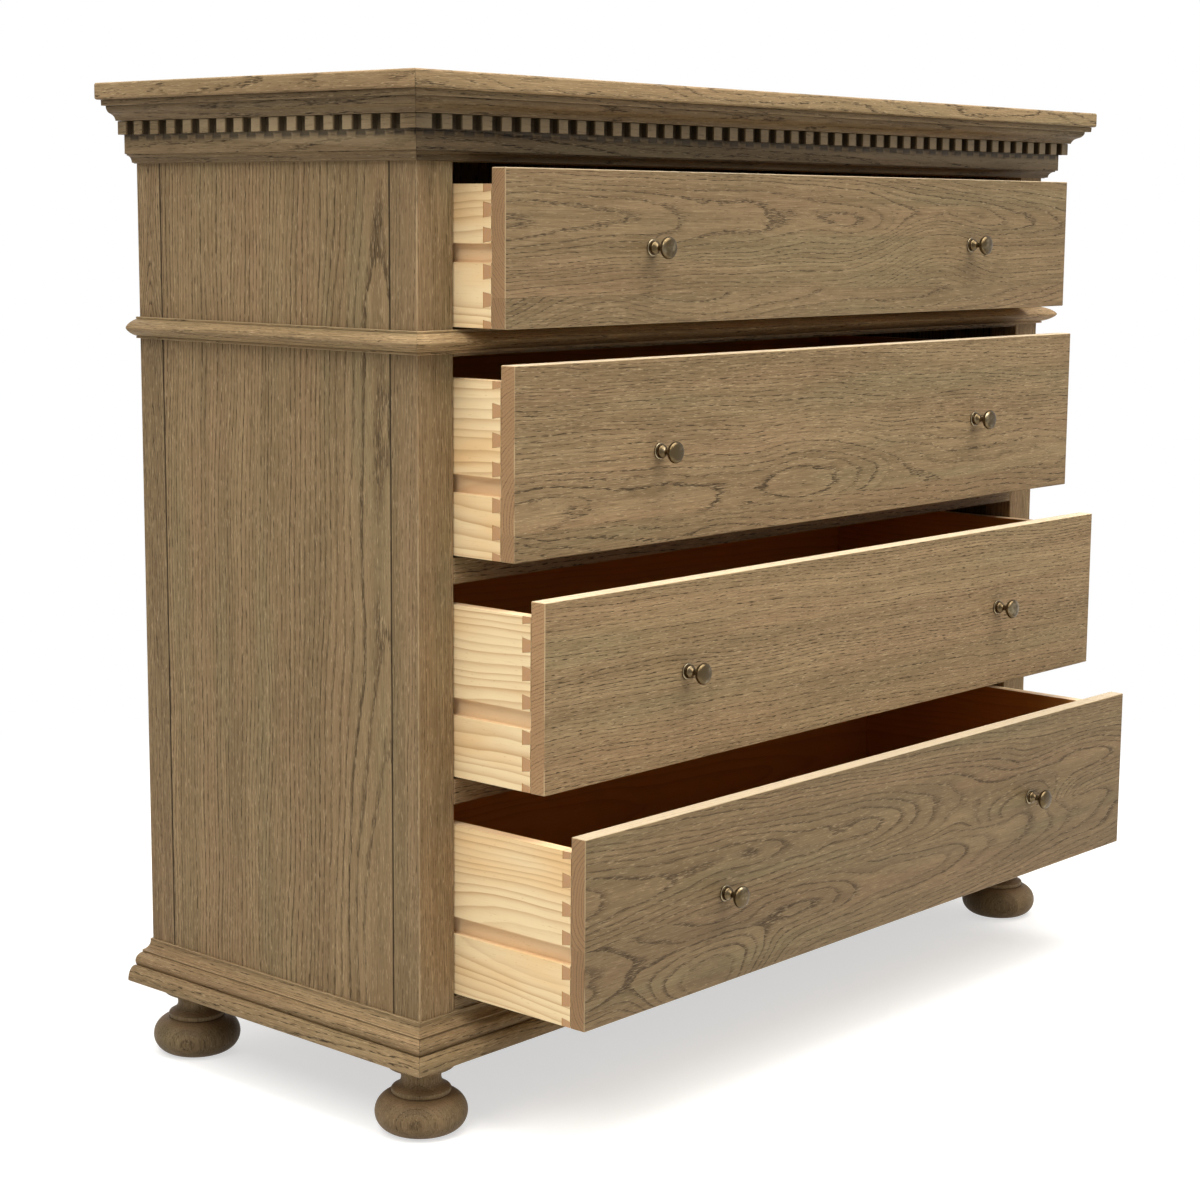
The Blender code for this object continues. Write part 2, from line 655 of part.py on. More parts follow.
def build_drawer(index, oak, pine, brass):
    """One drawer, modelled from the lower edge of its front face and carried by an empty."""
    name = f"drawer_{index + 1}"
    slide = bpy.data.objects.new(f"{name}_slide", None)
    slide.location = (0, FRONT_Y - DRAWER_OPEN[index], BAY_BOTTOMS[index] + DRAWER_RISE)
    bpy.context.scene.collection.objects.link(slide)

    low = (-DRAWER_HALF, 0, 0)
    high = (DRAWER_HALF, FRONT_THICKNESS, front_height(index))
    add_piece(f"{name}_front", box_mesh(low, high, EDGE_EASE), oak, slide)

    height = box_height(index)
    lift = (0, 0, BOX_LIFT)
    for side, sign in (("left", -1), ("right", 1)):
        add_piece(f"{name}_side_{side}", side_mesh(height, sign), pine, slide, lift)
    near = FRONT_THICKNESS + GAP
    far = near + BOX_LENGTH
    add_piece(f"{name}_box_front", end_mesh(height, near, 1), pine, slide, lift)
    add_piece(f"{name}_box_back", end_mesh(height, far, -1), pine, slide, lift)

    reach = DRAWER_HALF - BOX_SIDE_THICKNESS + BOTTOM_GROOVE_DEPTH - GAP
    inset = BOX_END_THICKNESS - BOTTOM_GROOVE_DEPTH + GAP
    base = BOTTOM_GROOVE_HEIGHT + GAP
    bm = box_mesh((-reach, near + inset, base), (reach, far - inset, base + BOTTOM_THICKNESS))
    add_piece(f"{name}_bottom", bm, pine, slide, lift)

    for side, sign in (("left", -1), ("right", 1)):
        place = (sign * (DRAWER_HALF - KNOB_INSET), -GAP, front_height(index) / 2)
        bm = turned_mesh(knob_profile(), KNOB_SIDES)
        add_piece(f"{name}_knob_{side}", bm, brass, slide, place, (math.pi / 2, 0, 0), smooth=40)


def main():
    """Build the whole chest."""
    clear_scene()
    oak = wood_or_metal("weathered_oak", (0.262, 0.188, 0.107), 0.62)
    pine = wood_or_metal("pine", (0.80, 0.60, 0.34), 0.55)
    brass = wood_or_metal("aged_brass", (0.20, 0.15, 0.08), 0.34, 1.0)
    build_top(oak)
    build_mouldings(oak)
    build_posts(oak)
    build_side_panels(oak)
    build_back_panel(oak)
    build_rails(oak)
    build_floor(oak)
    build_feet(oak)
    for index in range(len(BAY_HEIGHTS)):
        build_drawer(index, oak, pine, brass)


main()
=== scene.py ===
"""Looks of a wide oak chest of four long drawers, which stand pulled out by growing amounts.

Metres, +Z up, +X the viewer's right, the front faces -Y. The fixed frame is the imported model:
its boards and drawer boxes keep their meshes and get wood, and the top, mouldings, feet,
drawer fronts and knobs are modelled again here, finer, in the same places.
"""

import math

import bpy
import bmesh
from bpy.props import FloatProperty, FloatVectorProperty, IntProperty, PointerProperty
from mathutils import Matrix, Vector


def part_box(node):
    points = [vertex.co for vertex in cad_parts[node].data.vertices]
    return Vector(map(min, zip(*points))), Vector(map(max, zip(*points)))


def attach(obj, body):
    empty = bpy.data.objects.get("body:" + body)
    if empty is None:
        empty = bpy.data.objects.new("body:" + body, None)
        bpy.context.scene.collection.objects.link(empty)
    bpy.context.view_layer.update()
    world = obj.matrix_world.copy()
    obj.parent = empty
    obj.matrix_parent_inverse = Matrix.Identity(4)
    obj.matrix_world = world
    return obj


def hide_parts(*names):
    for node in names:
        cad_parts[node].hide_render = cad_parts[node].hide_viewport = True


bl_info = {
    "name": "Oak Chest of Drawers",
    "version": (1, 0, 0),
    "blender": (4, 5, 0),
    "location": "View3D > Sidebar > Chest",
    "description": "Models and finishes an oak chest of drawers round its packed frame",
    "category": "Add Mesh",
}

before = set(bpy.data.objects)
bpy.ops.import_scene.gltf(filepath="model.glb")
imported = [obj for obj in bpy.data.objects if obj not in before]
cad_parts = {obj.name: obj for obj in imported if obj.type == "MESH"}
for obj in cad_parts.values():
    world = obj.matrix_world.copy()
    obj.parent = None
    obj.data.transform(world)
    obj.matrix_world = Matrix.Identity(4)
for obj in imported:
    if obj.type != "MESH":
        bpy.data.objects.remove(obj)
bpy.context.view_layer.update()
UP = Vector((0, 0, 1))
WHITE = (1.0, 1.0, 1.0)
DRAWERS = (1, 2, 3, 4)
SIDES = ("left", "right")

# Faces of the carcass, from the posts
LEFT_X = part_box("post_front_left")[0].x
RIGHT_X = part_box("post_front_right")[1].x
FRONT_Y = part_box("post_front_left")[0].y
BACK_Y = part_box("post_back_left")[1].y


# Settings

def shade(red, green, blue):
    """A colour card's 0 to 255 values as linear light."""
    channels = []
    for value in (red / 255, green / 255, blue / 255):
        channels.append(value / 12.92 if value <= 0.04045 else ((value + 0.055) / 1.055) ** 2.4)
    return tuple(channels)


def color_property(name, description, *card):
    """A colour that the user may change, from a colour card's values."""
    return FloatVectorProperty(name=name, description=description, subtype="COLOR",
                               default=shade(*card), min=0.0, max=1.0)


def length_property(name, description, default):
    """A length that the user may change."""
    return FloatProperty(name=name, description=description, default=default, unit="LENGTH", precision=5)


def angle_property(name, description, degrees):
    """An angle that the user may change."""
    return FloatProperty(name=name, description=description, default=math.radians(degrees),
                         subtype="ANGLE")


class ChestShapes(bpy.types.PropertyGroup):
    """Sizes of the pieces that are modelled here."""
    arris: length_property("Arris", "Rounding of the boards' edges", 0.0011)
    top_arris: length_property("Top arris", "Rounding of the top's edges", 0.0026)
    moulding_arris: length_property("Moulding arris", "Rounding of the mouldings' edges", 0.0005)
    mitre_gap: length_property("Mitre gap", "Half the joint line where two mouldings meet", 0.00022)
    foot_sides: IntProperty(name="Foot sides", description="Faces round a foot", default=96, min=12)
    knob_sides: IntProperty(name="Knob sides", description="Faces round a knob", default=64, min=12)


class ChestOak(bpy.types.PropertyGroup):
    """Colours of the weathered oak."""
    pale: color_property("Pale", "Wood between the rings", 151, 126, 91)
    mid: color_property("Mid", "Broad darker streaks", 116, 95, 65)
    line: color_property("Line", "Growth ring lines", 86, 66, 40)
    pore: color_property("Pore", "Open pores", 50, 37, 21)
    ends: color_property("Ends", "End grain", 178, 139, 100)
    warm: color_property("Warm", "Reddish patches", 143, 114, 82)
    cool: color_property("Cool", "Greenish patches", 131, 118, 84)
    worn: color_property("Worn", "Rubbed arrises and pale flecks", 188, 164, 126)
    # Painted highlight: a pale colour on the drawer fronts' top edges that stands for strong light from
    # above
    top_highlight: color_property("Bare", "Painted highlight on the top edges of the drawer fronts", 198, 180, 150)


class ChestPine(bpy.types.PropertyGroup):
    """Colours of the drawer boxes."""
    pale: color_property("Pale", "Wood between the rings", 242, 217, 170)
    band: color_property("Band", "Growth rings", 190, 142, 90)
    flush: color_property("Flush", "Warm patches", 233, 190, 130)
    sawn: color_property("Sawn", "Sawn edges and grooves", 232, 198, 156)
    ends: color_property("Ends", "End grain of the pins", 178, 134, 94)
    # Painted shade: darker pine on the drawers' inner faces, standing for the shadow inside the boxes
    inside_shade: color_property("Inside shade", "Painted shade inside the drawers", 200, 138, 68)


class ChestBrass(bpy.types.PropertyGroup):
    """Colours of the knobs."""
    metal: color_property("Metal", "Rubbed brass", 222, 206, 172)
    patina: color_property("Patina", "Dark patina", 86, 72, 50)


class ChestStage(bpy.types.PropertyGroup):
    """Floor, light and camera."""
    floor: color_property("Floor", "Colour of the floor", 196, 194, 190)
    floor_glow: FloatProperty(name="Floor glow", description="Light added to the floor where it is seen",
                              default=0.60, min=0.0)
    camera_place: FloatVectorProperty(name="Camera", description="Place of the camera",
                                      default=(-2.2873, -1.8826, 0.9537), subtype="TRANSLATION",
                                      unit="LENGTH")
    heading: angle_property("Heading", "Turn from +Y towards +X", 48.413)
    pitch: angle_property("Pitch", "Tilt above the horizon", -8.933)
    roll: angle_property("Roll", "Turn about the line of sight", 0.435)
    lens: FloatProperty(name="Lens", description="Focal length in millimetres", default=73.95)


# Node building

class Wire:
    """An output of a node. Sums, differences, products and steps of it are new nodes."""

    def __init__(self, bench, socket):
        self.bench = bench
        self.socket = socket

    def __add__(self, other):
        return self.bench.math("ADD", self, other)

    def __sub__(self, other):
        return self.bench.math("SUBTRACT", self, other)

    def __rsub__(self, other):
        return self.bench.math("SUBTRACT", other, self)

    def __mul__(self, other):
        return self.bench.math("MULTIPLY", self, other)

    __radd__ = __add__
    __rmul__ = __mul__

    def step(self, low, high, kind="SMOOTHSTEP"):
        """0 at low, 1 at high, and level beyond them."""
        plugs = {"Value": self, "From Min": low, "From Max": high}
        return self.bench.wire("ShaderNodeMapRange", "Result", plugs, interpolation_type=kind)


class Bench:
    """Adds nodes to a tree, wired as they are made."""

    def __init__(self, tree):
        self.tree = tree

    def plug(self, socket, value):
        """Wire a socket to an output, or set it to a plain value, a colour with full cover."""
        if isinstance(value, Wire):
            self.tree.links.new(value.socket, socket)
        else:
            socket.default_value = (*value, 1.0) if socket.type == "RGBA" else value

    def fill(self, node, plugs):
        """Plug inputs of a node, each named by its label or number."""
        for label, value in dict(plugs).items():
            self.plug(node.inputs[label], value)

    def make(self, kind, plugs=(), **values):
        """Add a node with these settings and inputs."""
        node = self.tree.nodes.new(kind)
        for key, value in values.items():
            setattr(node, key, value)
        self.fill(node, plugs)
        return node

    def wires(self, node):
        """All outputs of a node, by name."""
        return {socket.name: Wire(self, socket) for socket in node.outputs}

    def wire(self, kind, output=0, plugs=(), **values):
        """Add a node and take one of its outputs."""
        return Wire(self, self.make(kind, plugs, **values).outputs[output])

    def math(self, operation, *values, clamp=False):
        return self.wire("ShaderNodeMath", 0, enumerate(values), operation=operation, use_clamp=clamp)

    def most(self, *values):
        """The largest of some values."""
        found = values[0]
        for value in values[1:]:
            found = self.math("MAXIMUM", found, value)
        return found

    def vector(self, operation, *values):
        output = "Value" if operation == "LENGTH" else "Vector"
        return self.wire("ShaderNodeVectorMath", output, enumerate(values), operation=operation)

    def split(self, vector):
        return list(self.wires(self.make("ShaderNodeSeparateXYZ", {0: vector})).values())

    def join(self, *values):
        return self.wire("ShaderNodeCombineXYZ", 0, enumerate(values))

    def noise(self, place, along, deep, across=None, detail=2.0, roughness=0.5):
        """Noise from 0 to 1, scaled along, deep and across the board."""
        stretched = self.vector("MULTIPLY", place, (along, deep, across or deep))
        plugs = {"Vector": stretched, "Scale": 1.0, "Detail": detail, "Roughness": roughness}
        return self.wire("ShaderNodeTexNoise", "Fac", plugs)

    def centred(self, *arguments, **options):
        """Noise about zero."""
        return self.noise(*arguments, **options) - 0.5

    def chance(self, value):
        """A random number from 0 to 1 for each whole number."""
        return self.wire("ShaderNodeTexWhiteNoise", "Value", {"W": value}, noise_dimensions="1D")

    def attribute(self, name):
        """A number that the mesh carries."""
        return self.wire("ShaderNodeAttribute", "Fac", attribute_name=name)

    def blend(self, share, first, second):
        """Mix two colours; the mix node numbers its colour sockets 6 and 7, and their result 2."""
        return self.wire("ShaderNodeMix", 2, {0: share, 6: first, 7: second}, data_type="RGBA")

    def paint(self, color, *coats):
        """Lay further colours over one, each by its share."""
        for share, coat in coats:
            color = self.blend(share, color, coat)
        return color


GROWTH_NUMBERS = ("Seed", "Heart depth", "Heart side", "Taper", "Figure", "Ring width", "Swirl")


def new_group(name, numbers, results):
    """A node group for wood: a place, a knot and numbers go in, a colour and numbers come out."""
    group = bpy.data.node_groups.new(name, "ShaderNodeTree")
    sockets = [("INPUT", "Vector", label) for label in ("Place", "Knot")]
    sockets += [("INPUT", "Float", label) for label in (*GROWTH_NUMBERS, *numbers)]
    sockets += [("OUTPUT", "Color", "Color")] + [("OUTPUT", "Float", label) for label in results]
    for way, kind, label in sockets:
        group.interface.new_socket(name=label, in_out=way, socket_type=f"NodeSocket{kind}")
    bench = Bench(group)
    return bench, bench.wires(bench.make("NodeGroupInput")), bench.make("NodeGroupOutput")


def growth(bench, source, ragged, torn=None):
    """The place that noise is read at, and the distance from the tree's heart in ring widths."""
    place, seed, figure = source["Place"], source["Seed"], source["Figure"]
    along, deep, across = bench.split(place)
    shift = bench.vector("ADD", place, bench.join(seed, seed * 1.7, seed * 0.6))
    from_heart = bench.join(0.0, deep + source["Heart depth"], across + source["Heart side"])
    broad = bench.centred(shift, 3.2, 10.0, detail=1.5)
    wavy = bench.centred(shift, 10.0, 34.0)
    fine = bench.centred(shift, 44.0, 170.0, detail=1.0) * ragged
    if torn is not None:
        fine = fine + bench.centred(shift, 85.0, 950.0, detail=0.0) * torn
    from_knot = bench.vector("SUBTRACT", place, source["Knot"])
    reach = bench.vector("LENGTH", bench.vector("MULTIPLY", from_knot, (5.5, 0.0, 13.0)))
    swirl = source["Swirl"] * reach.step(1.0, 0.0)
    radius = (bench.vector("LENGTH", from_heart) + along * source["Taper"] + broad * figure * 2.0
              + wavy * figure * 0.30 + fine + swirl)
    uneven = bench.centred(bench.join(radius, seed, 0.0), 34.0, 1.0, detail=1.0)
    return shift, bench.math("DIVIDE", radius, source["Ring width"]) + uneven * 2.4


def build_oak_group(oak):
    """Open-grained oak: ring lines torn into dashes along the fibre, streaks and rubbed arrises, with a
    painted highlight on top edges, dark joints, and painted shade where asked.
    """
    numbers = ("Lines", "Wear", "Grime", "Bare", "Tone", "Torn", "Ends")
    bench, source, target = new_group("weathered_oak_grain", numbers, ("Roughness", "Height"))
    torn = source["Torn"]
    shift, rings = growth(bench, source, torn * 0.0014, torn * 0.0009)
    phase = bench.math("FRACT", rings)
    ring = bench.math("FLOOR", rings)
    early = phase.step(0.0, 0.06) * phase.step(0.46, 0.10) * (0.40 + bench.chance(ring) * 0.60)

    pores = (bench.noise(shift, 96.0, 1250.0, detail=1.0) + early * 0.24).step(0.66, 0.78)
    beside = bench.vector("ADD", shift, (3.1, 5.3, 7.7))
    flecks = (bench.noise(beside, 95.0, 950.0, detail=1.0) + early * 0.10).step(0.62, 0.74)
    hairs = bench.noise(shift, 30.0, 820.0, roughness=0.7)
    streaks = bench.noise(shift, 2.2, 56.0, detail=3.0, roughness=0.62)
    clouds = bench.noise(shift, 4.0, 14.0)
    patches = bench.noise(shift, 2.4, 26.0, 24.0)

    end_wood = bench.paint(oak.ends, (early * 0.40, oak.line), (hairs * 0.45, oak.mid))
    # Painted highlight on the top edges, with a little grain in it
    top_highlight = bench.blend((early + hairs) * 0.16, oak.top_highlight, oak.ends)
    pores = bench.math("MULTIPLY", pores, 0.30 + torn * 0.70, clamp=True)
    pores_shown = 0.85 - source["Ends"] * 0.45 - source["Bare"] * 0.55
    rubbed = bench.math("MULTIPLY", source["Wear"], clouds.step(0.30, 0.55), clamp=True)
    color = bench.paint(
        oak.pale,
        (0.12 + streaks.step(0.34, 0.66) * 0.64, oak.mid),
        (patches.step(0.48, 0.66) * 0.48, oak.warm),
        (patches.step(0.46, 0.30) * 0.42, oak.cool),
        (bench.chance(ring + 0.5) * 0.40, oak.mid),
        (early * source["Lines"], oak.line),
        (hairs.step(0.50, 0.74) * 0.54, oak.line),
        (hairs.step(0.48, 0.26) * 0.30, oak.worn),
        (flecks * 0.44, oak.worn),
        (source["Ends"], end_wood),
        # The painted highlight on the top edges
        (source["Bare"], top_highlight),
        (pores * pores_shown, oak.pore),
        (rubbed * 0.72, oak.worn),
        # Dark joint lines, and painted shade in inner corners and round the dentils
        (source["Grime"] * 0.85, oak.pore * 0.35))
    tone = source["Tone"] * (0.91 + clouds * 0.18)
    bench.fill(target, {
        "Color": bench.vector("MULTIPLY", color, bench.join(tone, tone, tone)),
        "Roughness": 0.62 + pores * 0.2 - hairs * 0.10 - rubbed * 0.12,
        "Height": pores * -1.0 - early * 0.30 - hairs * 0.30})


def build_pine_group(pine):
    """Planed pine: soft bands, warm flushes, and painted shade on the inner faces that stands for the
    shadow inside the drawers.
    """
    numbers, results = ("Sawn", "Inside", "Ends"), ("Roughness", "Height", "Gloss")
    bench, source, target = new_group("planed_pine_grain", numbers, results)
    shift, rings = growth(bench, source, 0.0005)
    phase = bench.math("FRACT", rings)
    strength = bench.chance(bench.math("FLOOR", rings))
    late = bench.math("POWER", phase, 3.0) * phase.step(1.0, 0.90) * (0.35 + strength * 0.75)
    hairs = bench.noise(shift, 26.0, 900.0, roughness=0.65)
    clouds = bench.noise(shift, 5.0, 18.0)
    flecks = bench.noise(shift, 130.0, 900.0, detail=1.0).step(0.70, 0.78)

    end_wood = bench.blend(late * 0.8, pine.ends, pine.band)
    # Painted shade on the inner faces, darker still in the rings and hairs
    shaded_inside = bench.blend((late + hairs) * 0.35, pine.inside_shade, pine.inside_shade * 0.45)
    color = bench.paint(
        pine.pale,
        (clouds.step(0.42, 0.72) * 0.75, pine.flush),
        (bench.math("MULTIPLY", late, 0.95, clamp=True), pine.band),
        (hairs.step(0.5, 0.85) * 0.22, pine.band),
        (source["Sawn"] * 0.66, pine.sawn),
        (source["Ends"] * 0.90, end_wood),
        (flecks * 0.35, pine.band),
        # The painted shade on the inner face
        (source["Inside"], shaded_inside))
    bench.fill(target, {
        "Color": color,
        "Roughness": 0.50 + hairs * 0.16 - late * 0.06,
        "Height": hairs * 0.5 + late * 0.4,
        "Gloss": 0.36 - source["Inside"] * 0.30})


# Where a board's length, thickness and width lie: the axes of along, deep and across
ALONG_X = "xyz"
ALONG_X_FLAT = "xzy"
ALONG_Y = "yxz"
ALONG_Z = "zxy"
ALONG_Z_FRONT = "zyx"

# Distances from a face, joint or arris: where a mark has faded out, and where it is full
SEAM = (0.0016, 0.0004)
JOINT = (0.0006, 0.0001)
ARRIS = (0.0018, 0.0002)
ARRIS_BREAK = 0.0022
# Painted highlight on a drawer front's top face: distances below the face where it has faded out, and
# where it is full
TOP_HIGHLIGHT_EDGE = (0.0007, 0.0003)
# Painted shade in the dentils' slots, and the painted shadow they cast on the frieze below
SLOT_BACK = (0.0004, 0.0034)
SLOT_FOOT = (0.0152, 0.0142)
UNDER_FOOT = (0.0235, 0.0180)
UNDER_HEAD = (0.0138, 0.0146)
SAWN = (0.0015, 0.0030)
# Distances from a drawer board's inner face where its painted shade has faded out, and where it is full
INSIDE_SHADE_DEPTH = (0.0008, 0.0003)
SHARP_EDGE = 0.0001

# How far the grain jumps at a glue line, along, deep and across
GLUE_JUMP = (0.61, 0.012, 0.071)
# How squarely a surface faces along the board where end grain begins, and where it is full
END_GRAIN = (0.6, 0.9)
OAK_GLOSS = 0.18


def board_place(bench, order, centre, half):
    """The place along, deep and across a board, its parts by axis, and how to measure from a face."""
    coordinates = bench.wire("ShaderNodeTexCoord", "Object")
    moved = bench.wire("ShaderNodeMapping", 0, {"Vector": coordinates, "Location": -centre})
    parts = dict(zip("xyz", bench.split(moved)))

    def from_face(face):
        """Distance from a face that is named like "-x"."""
        sign, axis = face
        reach = half["xyz".index(axis)]
        return reach - parts[axis] if sign == "+" else reach + parts[axis]

    return bench.join(*(parts[axis] for axis in order)), parts, from_face


def end_share(bench, order):
    """1 where the surface cuts across the board's length."""
    normal = bench.split(bench.wire("ShaderNodeNewGeometry", "Normal"))
    return bench.math("ABSOLUTE", normal["xyz".index(order[0])]).step(*END_GRAIN)


def corner_wear(bench, from_face, corners, rough):
    """1 along the named arrises of a board, broken by a rough value."""
    wear = 0.0
    for corner in corners:
        reach = bench.most(*map(from_face, corner.split()))
        wear = bench.most(wear, (reach + rough * ARRIS_BREAK).step(*ARRIS))
    return wear


def glued_place(bench, place, glue_line):
    """Move the grain of the board beyond a glue line; and 1 beyond it."""
    beyond = bench.split(place)[2].step(glue_line, glue_line - 2 * SHARP_EDGE, "LINEAR")
    jump = bench.join(*(beyond * length for length in GLUE_JUMP))
    return bench.vector("ADD", place, jump), beyond


def dentil_shade(bench, parts, from_face, centre, wall):
    """Painted shade: 1 in the slots between the dentils of a wall, and less for the painted shadow on
    the frieze beside and under each.
    """
    outer = {"front": "-y", "left": "-x", "right": "+x"}[wall.name]
    below = from_face("+z")
    # Painted shade deep in the slots
    slots = from_face(outer).step(*SLOT_BACK) * below.step(*SLOT_FOOT) * 0.92
    edges = dentil_edges(wall)
    axis = "x" if wall.name == "front" else "y"
    index = "xyz".index(axis)
    first = wall.corner[index] + edges[0] - centre[index]
    turn = bench.math("DIVIDE", parts[axis] - first, 2 * (edges[1] - edges[0]))
    phase = bench.math("FRACT", turn)
    if wall.name == "front":
        phase = bench.math("FRACT", 0.5 - phase)
    # Painted shadow that each dentil casts down and sideways onto the frieze
    under = phase.step(0.02, 0.14) * phase.step(0.68, 0.56)
    under = under * below.step(*UNDER_FOOT) * below.step(*UNDER_HEAD) * 0.90
    return bench.most(slots, under)


def framed_place(bench, parts, half, border):
    """Turn the grain along the ends of a top that is framed with mitred strips, and its joint lines."""
    from_end = half.x - bench.math("ABSOLUTE", parts["x"])
    from_edge = half.y - bench.math("ABSOLUTE", parts["y"])
    over = from_edge - from_end
    nearest = bench.math("MINIMUM", from_end, from_edge)
    in_frame = nearest.step(border, border - SHARP_EDGE, "LINEAR")
    share = over.step(0.0, SHARP_EDGE, "LINEAR") * in_frame
    lengthwise = bench.join(parts["x"], parts["z"], parts["y"])
    crosswise = bench.join(parts["y"], parts["z"], parts["x"])
    # The mix node numbers its vector sockets 4 and 5, and their result 1
    place = bench.wire("ShaderNodeMix", 1, {0: share, 4: lengthwise, 5: crosswise}, data_type="VECTOR")
    mitre = bench.math("ABSOLUTE", over).step(*JOINT) * in_frame
    inner = bench.math("ABSOLUTE", nearest - border).step(*JOINT)
    return place, bench.most(mitre, inner)


def start_material(name):
    """A material with its shader and a bench to build on."""
    material = bpy.data.materials.new(name)
    material.use_nodes = True
    return material, Bench(material.node_tree), material.node_tree.nodes["Principled BSDF"]


def fill_shader(bench, shader, color, roughness, height, strength, distance, specular=0.5, metallic=0.0):
    """The surface of a material, bumped by a height."""
    bump = bench.wire("ShaderNodeBump", "Normal", {"Height": height, "Strength": strength,
                                                   "Distance": distance})
    bench.fill(shader, {"Base Color": color, "Roughness": roughness, "Normal": bump,
                        "Specular IOR Level": specular, "Metallic": metallic})


def fill_wood(bench, shader, group, plugs, strength, distance):
    """The surface of a wooden board, from one of the grain groups."""
    grain = bench.wires(bench.make("ShaderNodeGroup", plugs, node_tree=bpy.data.node_groups[group]))
    fill_shader(bench, shader, grain["Color"], grain["Roughness"], grain["Height"], strength, distance,
                grain.get("Gloss", OAK_GLOSS))


def oak_material(node, order, seed, box=None, depth=0.05, side=0.0, taper=0.02, figure=0.012,
                 ring=0.0042, tone=1.0, knot=(0.0, 0.0, 0.0), swirl=0.0, ends=0.9, corners=(), seams=(),
                 border=0.0, glue_line=None, dentils=None, lines=0.42, torn=1.0, top_highlight=False):
    """Oak for one board in its node's box or another: how it was cut from the tree, and its marks."""
    material, bench, shader = start_material(f"oak_{node}")
    low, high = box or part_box(node)
    centre, half = (low + high) / 2, (high - low) / 2
    place, parts, from_face = board_place(bench, order, centre, half)
    joints_and_shade = bench.most(0.0, *(from_face(seam).step(*SEAM) for seam in seams))
    if border:
        place, joints_and_shade = framed_place(bench, parts, half, border)
    # Painted shade in inner corners: the hollow mark darkens them, beside dark joint lines and seams
    hollow = bench.attribute("hollow")
    # On a frieze, the dentils' painted shade takes the joints' place, and only the deepest inner corners
    # darken
    if dentils:
        joints_and_shade = dentil_shade(bench, parts, from_face, centre, dentils)
        hollow = hollow.step(0.80, 1.0)
    darker = 0.0
    if glue_line is not None:
        place, darker = glued_place(bench, place, glue_line)
    wear = bench.attribute("wear")
    if corners:
        rough = bench.centred(place, 60.0, 400.0)
        wear = bench.most(wear, corner_wear(bench, from_face, corners, rough) * 0.62)
    plugs = {"Place": place, "Seed": seed, "Heart depth": depth, "Heart side": side, "Taper": taper,
             "Figure": figure, "Ring width": ring, "Knot": knot, "Swirl": swirl, "Lines": lines,
             "Torn": torn, "Wear": wear, "Tone": tone - darker * 0.07,
             # Darkening: dark joint lines and seams, and painted shade in inner corners and round the
             # dentils
             "Grime": bench.most(joints_and_shade, hollow * 0.85), "Ends": end_share(bench, order) * ends,
             # Painted highlight on the top face of a drawer front
             "Bare": from_face("+z").step(*TOP_HIGHLIGHT_EDGE) if top_highlight else 0.0}
    fill_wood(bench, shader, "weathered_oak_grain", plugs, strength=0.55, distance=0.0006)
    return material


def pine_material(node, order, seed, outer, figure):
    """Pine for one board; outer names the face across from the inner one, which gets painted shade."""
    material, bench, shader = start_material(f"pine_{node}")
    low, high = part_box(node)
    place, _, from_face = board_place(bench, order, (low + high) / 2, (high - low) / 2)
    thickness = (high - low)["xyz".index(outer[1])]
    plugs = {"Place": place, "Seed": seed, "Heart depth": 0.05, "Heart side": 0.02, "Taper": 0.03,
             "Figure": figure, "Ring width": 0.0075, "Ends": end_share(bench, order),
             "Sawn": from_face(outer).step(*SAWN),
             # Painted shade on the inner face
             "Inside": from_face(outer).step(*(thickness - inset for inset in INSIDE_SHADE_DEPTH))}
    fill_wood(bench, shader, "planed_pine_grain", plugs, strength=0.30, distance=0.0004)
    return material


def brass_material(brass):
    """Aged brass: dark patina, rubbed bright on its rims."""
    material, bench, shader = start_material("aged_brass_patina")
    place = bench.wire("ShaderNodeTexCoord", "Object")
    spots = bench.noise(place, 420.0, 420.0, detail=4.0, roughness=0.65)
    soft = bench.noise(place, 90.0, 90.0)
    rims = bench.attribute("wear") * 0.26 + soft.step(0.50, 0.8) * 0.3
    rubbed = bench.math("MULTIPLY", rims, 0.55 + spots * 0.6, clamp=True)
    color = bench.blend(rubbed, brass.patina, brass.metal)
    roughness = 0.19 - rubbed * 0.06 + spots * 0.10
    fill_shader(bench, shader, color, roughness, spots, 0.25, 0.0002, metallic=1.0)
    return material


# Modelling

OVERRUN = 0.06
SAME_PLACE = 1e-6
ON_PLANE = 2e-5

# Turns at an edge, in degrees: where it counts as sharp, where marks begin, and how fast they grow
SHARP_TURN = 28
MARKED_TURN = 24
MARK_FADE = 5


def lone_primitive(name, add, **options):
    """Add one primitive with nothing else selected, and put its place into its mesh."""
    bpy.ops.object.select_all(action="DESELECT")
    add(**options)
    return settle_place(name)


def settle_place(name):
    """Put the active piece's place into its mesh, and name both."""
    bpy.ops.object.transform_apply(location=True, rotation=True, scale=True)
    piece = bpy.context.object
    piece.name = name
    piece.data.name = name
    return piece


def edit_all():
    """Enter edit mode with the whole piece selected."""
    bpy.ops.object.mode_set(mode="EDIT")
    bpy.ops.mesh.select_all(action="SELECT")


def pull(move):
    """Pull the selected faces out."""
    bpy.ops.mesh.extrude_region_move(TRANSFORM_OT_translate={"value": move})


def settle(piece, smooth_angle, weighted=True):
    """Mend the normals, leave edit mode and smooth."""
    edit_all()
    bpy.ops.mesh.remove_doubles(threshold=SAME_PLACE)
    bpy.ops.mesh.normals_make_consistent(inside=False)
    bpy.ops.object.mode_set(mode="OBJECT")
    bpy.ops.object.shade_smooth_by_angle(angle=math.radians(smooth_angle))
    if weighted:
        bpy.ops.object.modifier_add(type="WEIGHTED_NORMAL")
        modifier = piece.modifiers[-1]
        modifier.weight = 100
        modifier.keep_sharp = True
        bpy.ops.object.modifier_apply(modifier=modifier.name)


